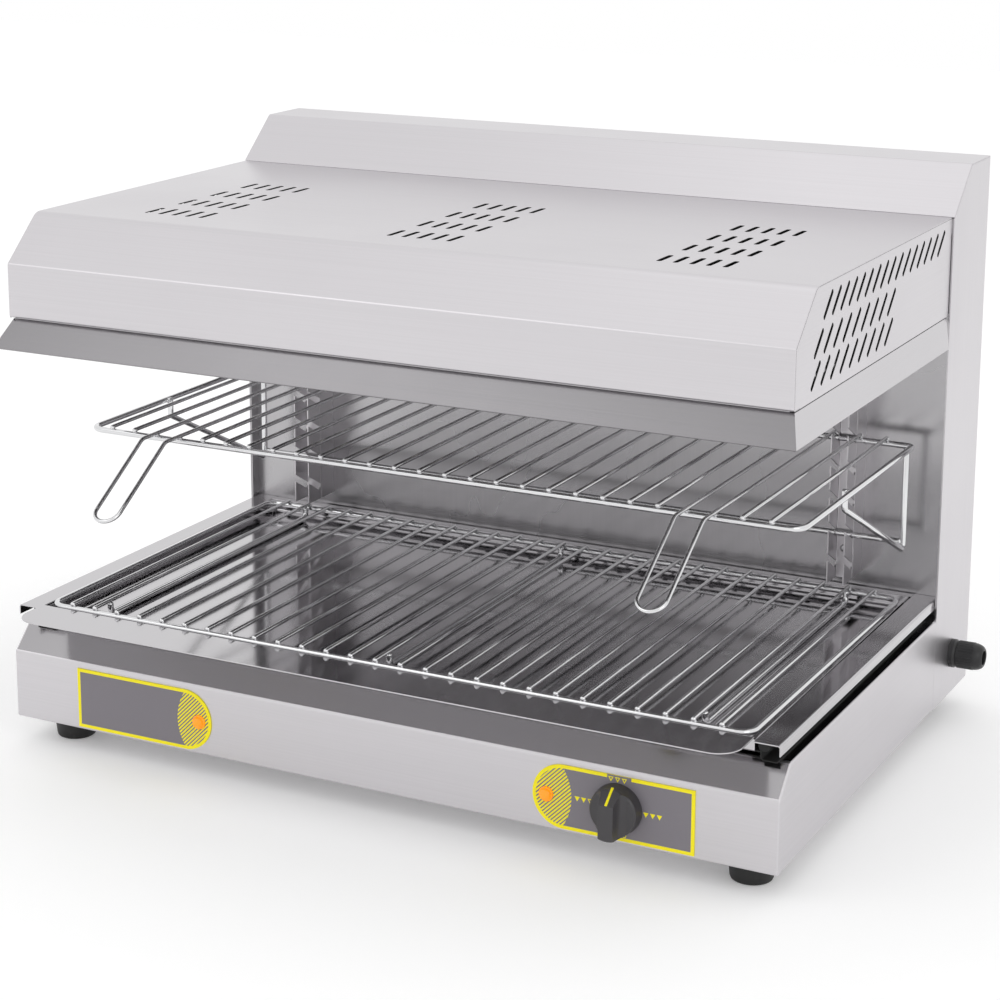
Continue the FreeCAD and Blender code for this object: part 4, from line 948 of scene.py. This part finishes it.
bm = bmesh.new()
outline = [(column_front, hood_top), (slope_rear, column_top), (column_rear, column_top)]
folded_strip(bm, [(-base_half, y, z) for y, z in outline], (2 * base_half, 0, 0), [3.0])
give_gauge(bm, sheet_gauge, (0, 0, 1))
finish_piece("column_top_sheet", bm, [satin_front], ["column_top_cover"], soft_edge=0.4, closed=False)

bm = bmesh.new()
flat_sheet(bm, [(-base_half, column_rear, 0), (base_half, column_rear, 0),
                (base_half, column_rear, column_top - sheet_gauge),
                (-base_half, column_rear, column_top - sheet_gauge)])
back_vent_x, back_vent_pitch, back_vent_drop = 200.0, 18.0, 80.0
vents = []
for sign in (-1, 1):
    for step in range(8):
        centre = (sign * back_vent_x + (step - 3.5) * back_vent_pitch,
                  column_rear, column_top - back_vent_drop)
        vents.append(slot_loop(bm, centre, (0, 0, 1), (1, 0, 0), 60.0, 6.0))
pierce(bm, face_towards(bm, (0, 1, 0)), vents)
give_gauge(bm, sheet_gauge, (0, 1, 0))
finish_piece("column_back_sheet", bm, [satin_front], ["column_back_panel"], soft_edge=0.3, closed=False)

# %% [markdown]
# ## Crumb tray and deck
#
# The tray is one folded pan. Its front runs out in a wide lip with rounded corners, which
# serves as its handle. The strips beside it are the deck, and they are polished as well.

# %% Crumb tray
bm = bmesh.new()
tray_half, tray_front, tray_rear, tray_base, tray_top = 371.5, 12.0, 436.0, 102.8, 115.8
lip_front, lip_round = -39.2, 23.4
outline = [(tray_rear, tray_top), (tray_rear, tray_base), (tray_front, tray_base), (tray_front, tray_top),
           (lip_front, tray_top)]
folded_strip(bm, [(-tray_half, y, z) for y, z in outline], (2 * tray_half, 0, 0), [3.0, 3.0, 2.4])
bm.verts.ensure_lookup_table()
lip_corners = [vert for vert in bm.verts if abs(vert.co.y - lip_front) < 0.01]
bmesh.ops.bevel(bm, geom=lip_corners, offset=lip_round, offset_type="OFFSET", segments=9, profile=0.5,
                affect="VERTICES", material=-1)
for sign in (-1, 1):
    edge_run = [edge for edge in bm.edges if len(edge.link_faces) == 1
                and all(abs(vert.co.x - sign * tray_half) < 0.01 and vert.co.y > tray_front - 0.01
                        for vert in edge.verts)]
    rim = [vert for vert in {vert for edge in edge_run for vert in edge.verts}
           if sum(edge in edge_run for edge in vert.link_edges) == 1]
    closing = bm.edges.new(rim)
    bmesh.ops.contextual_create(bm, geom=edge_run + [closing])
give_gauge(bm, sheet_gauge, (0, 0, -1))
finish_piece("crumb_tray_sheet", bm, [polished], ["crumb_tray"], soft_edge=0.3, closed=False)

# %% Deck sides
deck_outer, deck_inner, deck_front, deck_foot, deck_top, deck_length = 397.0, 373.0, 6.0, 105.0, 115.0, 443.6
for name, sign in (("left", -1), ("right", 1)):
    bm = bmesh.new()
    corners = [(sign * x, deck_front, z) for x, z in
               ((deck_outer, deck_foot), (deck_outer, deck_top), (deck_inner, deck_top))]
    folded_strip(bm, corners, (0, deck_length, 0), [2.7])
    give_gauge(bm, sheet_gauge, (0, 0, 1))
    finish_piece(f"deck_strip_{name}", bm, [polished], [f"deck_side_{name}"], soft_edge=0.3, closed=False)

# %% [markdown]
# ## Turned pieces
#
# The knob, the lamps, the feet and the cable gland are turned or moulded round. A profile
# of radius and height pairs is spun about their axis.

# %% Turned
def turned(bm, profile, foot, axis, steps=48):
    """Spins pairs of radius and height over a foot about an axis."""
    foot, axis = Vector(foot), Vector(axis).normalized()
    arm = axis.orthogonal().normalized()
    run = [bm.verts.new(foot + arm * radius + axis * height) for radius, height in profile]
    edges = [bm.edges.new(pair) for pair in zip(run, run[1:])]
    bmesh.ops.spin(bm, geom=run + edges, cent=foot, axis=axis, angle=math.tau, steps=steps, use_merge=True)


# %% [markdown]
# ## Knob
#
# The knob is a moulded disc with a grip across its face. The grip's flanks are hollow and
# its upper end slopes down to the rim, where a yellow pointer is laid in. The grip is a
# drawn section cut to the disc's outline by a boolean, and then joined to the disc.

# %% Knob
def combined(first, second, operation):
    """One bmesh from two closed ones under a boolean modifier."""
    holders = []
    for number, bm in enumerate((first, second)):
        bmesh.ops.remove_doubles(bm, verts=bm.verts, dist=0.001)
        bmesh.ops.recalc_face_normals(bm, faces=bm.faces)
        mesh = bpy.data.meshes.new(f"bench_part_{number}")
        bm.to_mesh(mesh)
        bm.free()
        holder = bpy.data.objects.new(f"bench_part_{number}", mesh)
        bpy.context.scene.collection.objects.link(holder)
        holders.append(holder)
    cut = holders[0].modifiers.new("cut", "BOOLEAN")
    cut.operation = operation
    cut.object = holders[1]
    cut.solver = "EXACT"
    result = bmesh.new()
    result.from_object(holders[0], bpy.context.evaluated_depsgraph_get())
    for holder in holders:
        mesh = holder.data
        bpy.data.objects.remove(holder)
        bpy.data.meshes.remove(mesh)
    return result


knob_place = Vector((knob_x, -1.3, plate_middle))
disc = bmesh.new()
disc_profile = [(0, 0), (23.2, 0), (23.2, 4.4), (22.9, 5.2), (22.2, 10.6), (20.8, 12.3), (20.0, 12.5),
                (0, 12.5)]
turned(disc, disc_profile, knob_place, (0, -1, 0), steps=72)
grip = bmesh.new()
hollow = [(15.9, 11.0), (12.8, 12.9), (10.4, 14.6), (8.9, 16.6), (7.9, 19.6), (7.3, 22.8), (7.0, 26.3)]
outline = [(x, depth) for x, depth in hollow] + [(-x, depth) for x, depth in reversed(hollow)]
grip_half = 23.8
foot = knob_place + Vector((0, 0, -grip_half))
section = grip.faces.new([grip.verts.new((foot.x + x, foot.y - depth, foot.z)) for x, depth in outline])
drawn = bmesh.ops.extrude_face_region(grip, geom=[section])["geom"]
bmesh.ops.translate(grip, verts=new_verts(drawn), vec=(0, 0, 2 * grip_half))
slope_top = knob_place + Vector((0, -26.3, 11.5))
slope_foot = knob_place + Vector((0, -10.8, 23.7))
slope = (slope_foot - slope_top).normalized()
slope_normal = Vector((0, -slope.z, slope.y))
if slope_normal.z < 0:
    slope_normal.negate()
cut = bmesh.ops.bisect_plane(grip, geom=grip.verts[:] + grip.edges[:] + grip.faces[:], plane_co=slope_top,
                             plane_no=slope_normal, clear_outer=True)["geom_cut"]
bmesh.ops.contextual_create(grip, geom=[item for item in cut if isinstance(item, bmesh.types.BMEdge)])
rim = bmesh.new()
turned(rim, [(0, 1.0), (22.6, 1.0), (22.0, 24.5), (20.6, 26.3), (0, 26.3)], knob_place, (0, -1, 0), steps=72)
grip = combined(grip, rim, "INTERSECT")
knob = combined(disc, grip, "UNION")
bore = bmesh.new()
turned(bore, [(0, -0.5), (3.3, -0.5), (3.3, 22.3), (0, 22.3)], knob_place, (0, -1, 0), steps=24)
knob = combined(knob, bore, "DIFFERENCE")
pointer = bmesh.ops.create_cube(knob, size=1.0)["verts"]
pointer_faces = {face for vert in pointer for face in vert.link_faces}
for face in pointer_faces:
    face.material_index = 1
slope_length = (slope_foot - slope_top).length
turn = Matrix((Vector((1, 0, 0)), slope, Vector((1, 0, 0)).cross(slope))).transposed().to_4x4()
middle = (slope_top + slope_foot) / 2
pointer_size = Matrix.Diagonal((2.3, slope_length - 1.2, 0.8, 1.0))
bmesh.ops.transform(knob, verts=pointer, matrix=Matrix.Translation(middle) @ turn @ pointer_size)
finish_piece("moulded_knob", knob, [knob_grey, yellow_print], ["control_knob"],
             smooth=32.0, soft_edge=0.5, closed=False)

# %% [markdown]
# ## Control plates
#
# Each plate is a thin foil with a round end. Its yellow border is the ring that an inset
# leaves. Small hollow and solid triangles round the knob stand for more and less heat.

# %% Control plates
foil_front, print_front = -1.0, -1.04


def foil_plate(bm, sign):
    """The plate's outline as a face, with a yellow ring and a grey field."""
    y, low, high, outer, inner = 0.0, 3.0, 63.0, 324.0, 169.5
    corners = [(sign * x, y, z) for x, z in ((outer, low), (inner, low), (inner, high), (outer, high))]
    face = bm.faces.new([bm.verts.new(corner) for corner in corners])
    ends = [vert for vert in face.verts if abs(abs(vert.co.x) - inner) < 0.01]
    bmesh.ops.bevel(bm, geom=ends, offset=29.99, offset_type="OFFSET", segments=14, profile=0.5,
                    affect="VERTICES", material=-1)
    face = bm.faces[:][0]
    bmesh.ops.recalc_face_normals(bm, faces=bm.faces)
    if face.normal.y > 0:
        bmesh.ops.reverse_faces(bm, faces=[face])
    body = bmesh.ops.extrude_face_region(bm, geom=[face])["geom"]
    bmesh.ops.translate(bm, verts=new_verts(body), vec=(0, foil_front, 0))
    flat = [face for face in bm.faces if abs(face.normal.y) > 0.999]
    front = min(flat, key=lambda face: face.calc_center_median().y)
    bmesh.ops.inset_region(bm, faces=[front], thickness=3.2, use_even_offset=True)
    for face in bm.faces:
        face.material_index = 1
    front.material_index = 0
    return front


def border_gap(bm, front, start, stop, above):
    """Leaves a gap in the printed border between two places across, above a height."""
    for x in (start, stop):
        ring = [face for face in bm.faces if face is not front and face.normal.y < -0.999]
        parts = {part for face in ring for part in [*face.verts, *face.edges, face]}
        bmesh.ops.bisect_plane(bm, geom=list(parts), plane_co=(x, 0, 0), plane_no=(1, 0, 0))
    for face in bm.faces:
        middle = face.calc_center_median()
        if face.normal.y < -0.999 and start < middle.x < stop and middle.z > above:
            face.material_index = 0


def hollow_out(bm, face, width):
    """Leaves only a yellow rim of some width of a printed shape."""
    rim = bmesh.ops.inset_region(bm, faces=[face], thickness=width, use_even_offset=True, use_boundary=True)
    for part in rim["faces"]:
        part.material_index = 1
    bmesh.ops.delete(bm, geom=[face], context="FACES")


def triangle_mark(bm, x, z, width, height, hollow):
    """A small printed triangle that points down, solid or as an outline."""
    made = bmesh.ops.create_circle(bm, cap_ends=True, segments=3, radius=1.0)["verts"]
    turn = Matrix.Translation((x, print_front, z)) @ Matrix.Diagonal((width / 1.732, 1.0, height / 1.5, 1.0)) \
        @ Matrix.Rotation(math.pi / 2, 4, "X") @ Matrix.Rotation(math.pi, 4, "Z")
    bmesh.ops.transform(bm, matrix=turn, verts=made)
    face = made[0].link_faces[0]
    face.material_index = 1
    if hollow:
        hollow_out(bm, face, 0.75)


for name, sign, foil in (("left", -1, foil_left), ("right", 1, foil_right)):
    bm = bmesh.new()
    front = foil_plate(bm, sign)
    openings = [hole_loop(bm, (sign * lamp_x, foil_front, plate_middle), (0, 1, 0), lamp_hole)]
    if sign > 0:
        border_gap(bm, front, 241.5, 264.5, 50.0)
        openings.append(hole_loop(bm, (knob_x, foil_front, plate_middle), (0, 1, 0), shaft_hole))
    pierce(bm, front, openings)
    if sign > 0:
        for x in (245.1, 251.5, 257.9):
            triangle_mark(bm, x, 59.8, 5.0, 4.6, True)
        for x in (213.0, 219.3, 225.6):
            triangle_mark(bm, x, 34.6, 5.0, 4.6, x > 220)
        for x in (278.6, 285.0, 291.4):
            triangle_mark(bm, x, 32.6, 5.0, 4.6, False)
        off_ring = bmesh.ops.create_circle(bm, cap_ends=True, segments=20, radius=1.9)["verts"]
        turn = Matrix.Translation((258.6, print_front, 8.4)) @ Matrix.Rotation(math.pi / 2, 4, "X")
        bmesh.ops.transform(bm, matrix=turn, verts=off_ring)
        hollow_out(bm, off_ring[0].link_faces[0], 0.7)
    finish_piece(f"control_foil_{name}", bm, [foil, yellow_print], [f"control_plate_{name}"], closed=False)

# %% [markdown]
# ## Pilot lamps
#
# A lamp is a clear orange cap with a collar and a low dome. Rings inside the dome catch
# the light, so its profile has two shallow steps.

# %% Pilot lamps
lamp_profile = [(0, -26), (5.8, -26), (5.8, 0), (6.9, 0), (6.9, 1.3), (6.6, 1.6), (5.6, 1.7), (5.4, 3.2),
                (4.6, 4.6), (3.9, 4.8), (3.3, 5.5), (1.8, 5.9), (0, 6.0)]
for name, sign in (("left", -1), ("right", 1)):
    bm = bmesh.new()
    turned(bm, lamp_profile, (sign * lamp_x, foil_front, plate_middle), (0, -1, 0), steps=40)
    finish_piece(f"pilot_lamp_cap_{name}", bm, [lamp_orange], [f"pilot_lamp_{name}"], smooth=50.0)

# %% [markdown]
# ## Feet
#
# The feet are soft black buttons with a shallow groove and a rounded lower rim. A steel
# stud holds each of them.

# %% Feet
foot_profile = [(0, 0), (21.6, 0), (22.0, 0.4), (21.8, 4.0), (21.2, 4.6), (21.1, 5.6), (21.5, 6.2),
                (19.4, 24.6), (18.6, 26.6), (17.0, 27.5), (15.2, 27.7), (12.6, 27.7), (11.6, 26.2), (0, 26.2)]
foot_x, foot_rows = 360.5, (("front", 43.6), ("rear", 508.0))
for row, y in foot_rows:
    for name, sign in (("left", -1), ("right", 1)):
        bm = bmesh.new()
        turned(bm, foot_profile, (sign * foot_x, y, sheet_gauge), (0, 0, -1), steps=40)
        stud = bmesh.ops.create_cone(bm, cap_ends=True, segments=20, radius1=4.0, radius2=3.6,
                                     depth=14.0)["verts"]
        bmesh.ops.translate(bm, verts=stud, vec=(sign * foot_x, y, 8.2))
        for face in {face for vert in stud for face in vert.link_faces}:
            face.material_index = 1
        finish_piece(f"rubber_foot_{row}_{name}", bm, [foot_rubber, zinc], [f"foot_{row}_{name}"],
                     smooth=40.0)

# %% [markdown]
# ## Cable gland
#
# The supply cable enters through a black gland. Its nut has fine grip ribs, a domed end
# and an open mouth with a soft seal inside. The ribs are every second face of the band,
# inset and raised.

# %% Cable gland
gland = Vector((base_half, gland_y, gland_z))
bm = bmesh.new()
body_profile = [(6.0, -14), (9.6, -14), (10.0, -13.6), (10.0, 0), (14.5, 0), (14.5, 4.6), (13.6, 5.4),
                (13.3, 7.0), (6.0, 7.0), (6.0, -14)]
turned(bm, body_profile, gland, (1, 0, 0), steps=48)
finish_piece("gland_body_turned", bm, [black_plastic], ["cable_gland_body"], smooth=40.0)

bm = bmesh.new()
nut_profile = [(6.0, 0), (13.2, 0), (13.7, 0.6), (13.7, 17.0), (13.5, 19.5), (12.6, 22.6), (11.2, 25.2),
               (9.6, 26.6), (8.6, 27.0), (7.2, 26.4), (6.9, 22.0), (6.0, 21.5), (6.0, 0)]
turned(bm, nut_profile, gland + Vector((7.0, 0, 0)), (1, 0, 0), steps=56)
bmesh.ops.remove_doubles(bm, verts=bm.verts, dist=0.001)
bmesh.ops.recalc_face_normals(bm, faces=bm.faces)
band = []
for face in bm.faces:
    middle = face.calc_center_median() - gland
    arm = math.hypot(middle.y, middle.z)
    if 13.0 < arm and 9.0 < middle.x < 23.0:
        band.append((math.atan2(middle.z, middle.y), face))
band.sort(key=lambda item: item[0])
ribs = [face for number, (turn, face) in enumerate(band) if number % 2 == 0]
bmesh.ops.inset_individual(bm, faces=ribs, thickness=0.25, depth=0.32)
print("gland ribs", len(ribs))
finish_piece("gland_nut_ribbed", bm, [black_plastic], ["cable_gland_nut"], smooth=30.0)

# %% [markdown]
# ## Ladder screws and tubes
#
# The ladder screws have domed heads with a cross recess. The heating tubes are milky
# quartz with a coil that shows as fine bands.

# %% Ladder screws
bm = bmesh.new()
head_profile = [(0, -4.8), (2.5, -4.8), (2.5, 0), (4.0, 0), (4.0, 0.8), (3.5, 1.7), (2.2, 2.4), (0, 2.6)]
for sign in (-1, 1):
    for z in (160.65, 339.4):
        foot = Vector((sign * 307.45, 421.5, z))
        head = bmesh.new()
        turned(head, head_profile, foot, (0, -1, 0), steps=24)
        for length, width in ((4.2, 0.8), (0.8, 4.2)):
            recess = bmesh.new()
            cube = bmesh.ops.create_cube(recess, size=1.0)["verts"]
            arm_place = Matrix.Translation(foot + Vector((0, -2.2, 0)))
            arm_size = Matrix.Diagonal((length, 1.6, width, 1.0))
            bmesh.ops.transform(recess, verts=cube, matrix=arm_place @ arm_size)
            head = combined(head, recess, "DIFFERENCE")
        part = bpy.data.meshes.new("screw_part")
        head.to_mesh(part)
        head.free()
        bm.from_mesh(part)
        bpy.data.meshes.remove(part)
finish_piece("ladder_screw_heads", bm, [zinc], ["ladder_screws"], smooth=35.0)

# %% Heating tubes
tube_profile = [(0, 0), (4.9, 0), (5.5, 0.8), (5.5, 667.2), (4.9, 668), (0, 668)]
for number in range(4):
    tube_low, tube_high = (Vector(corner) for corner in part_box(f"heating_tube_{number + 1}"))
    middle = to_frame.inverted() @ ((tube_low + tube_high) / 2)
    bm = bmesh.new()
    turned(bm, tube_profile, (-334.0, middle.y, middle.z), (1, 0, 0), steps=28)
    finish_piece(f"quartz_tube_{number + 1}", bm, [coil_quartz], [f"heating_tube_{number + 1}"], smooth=50.0)
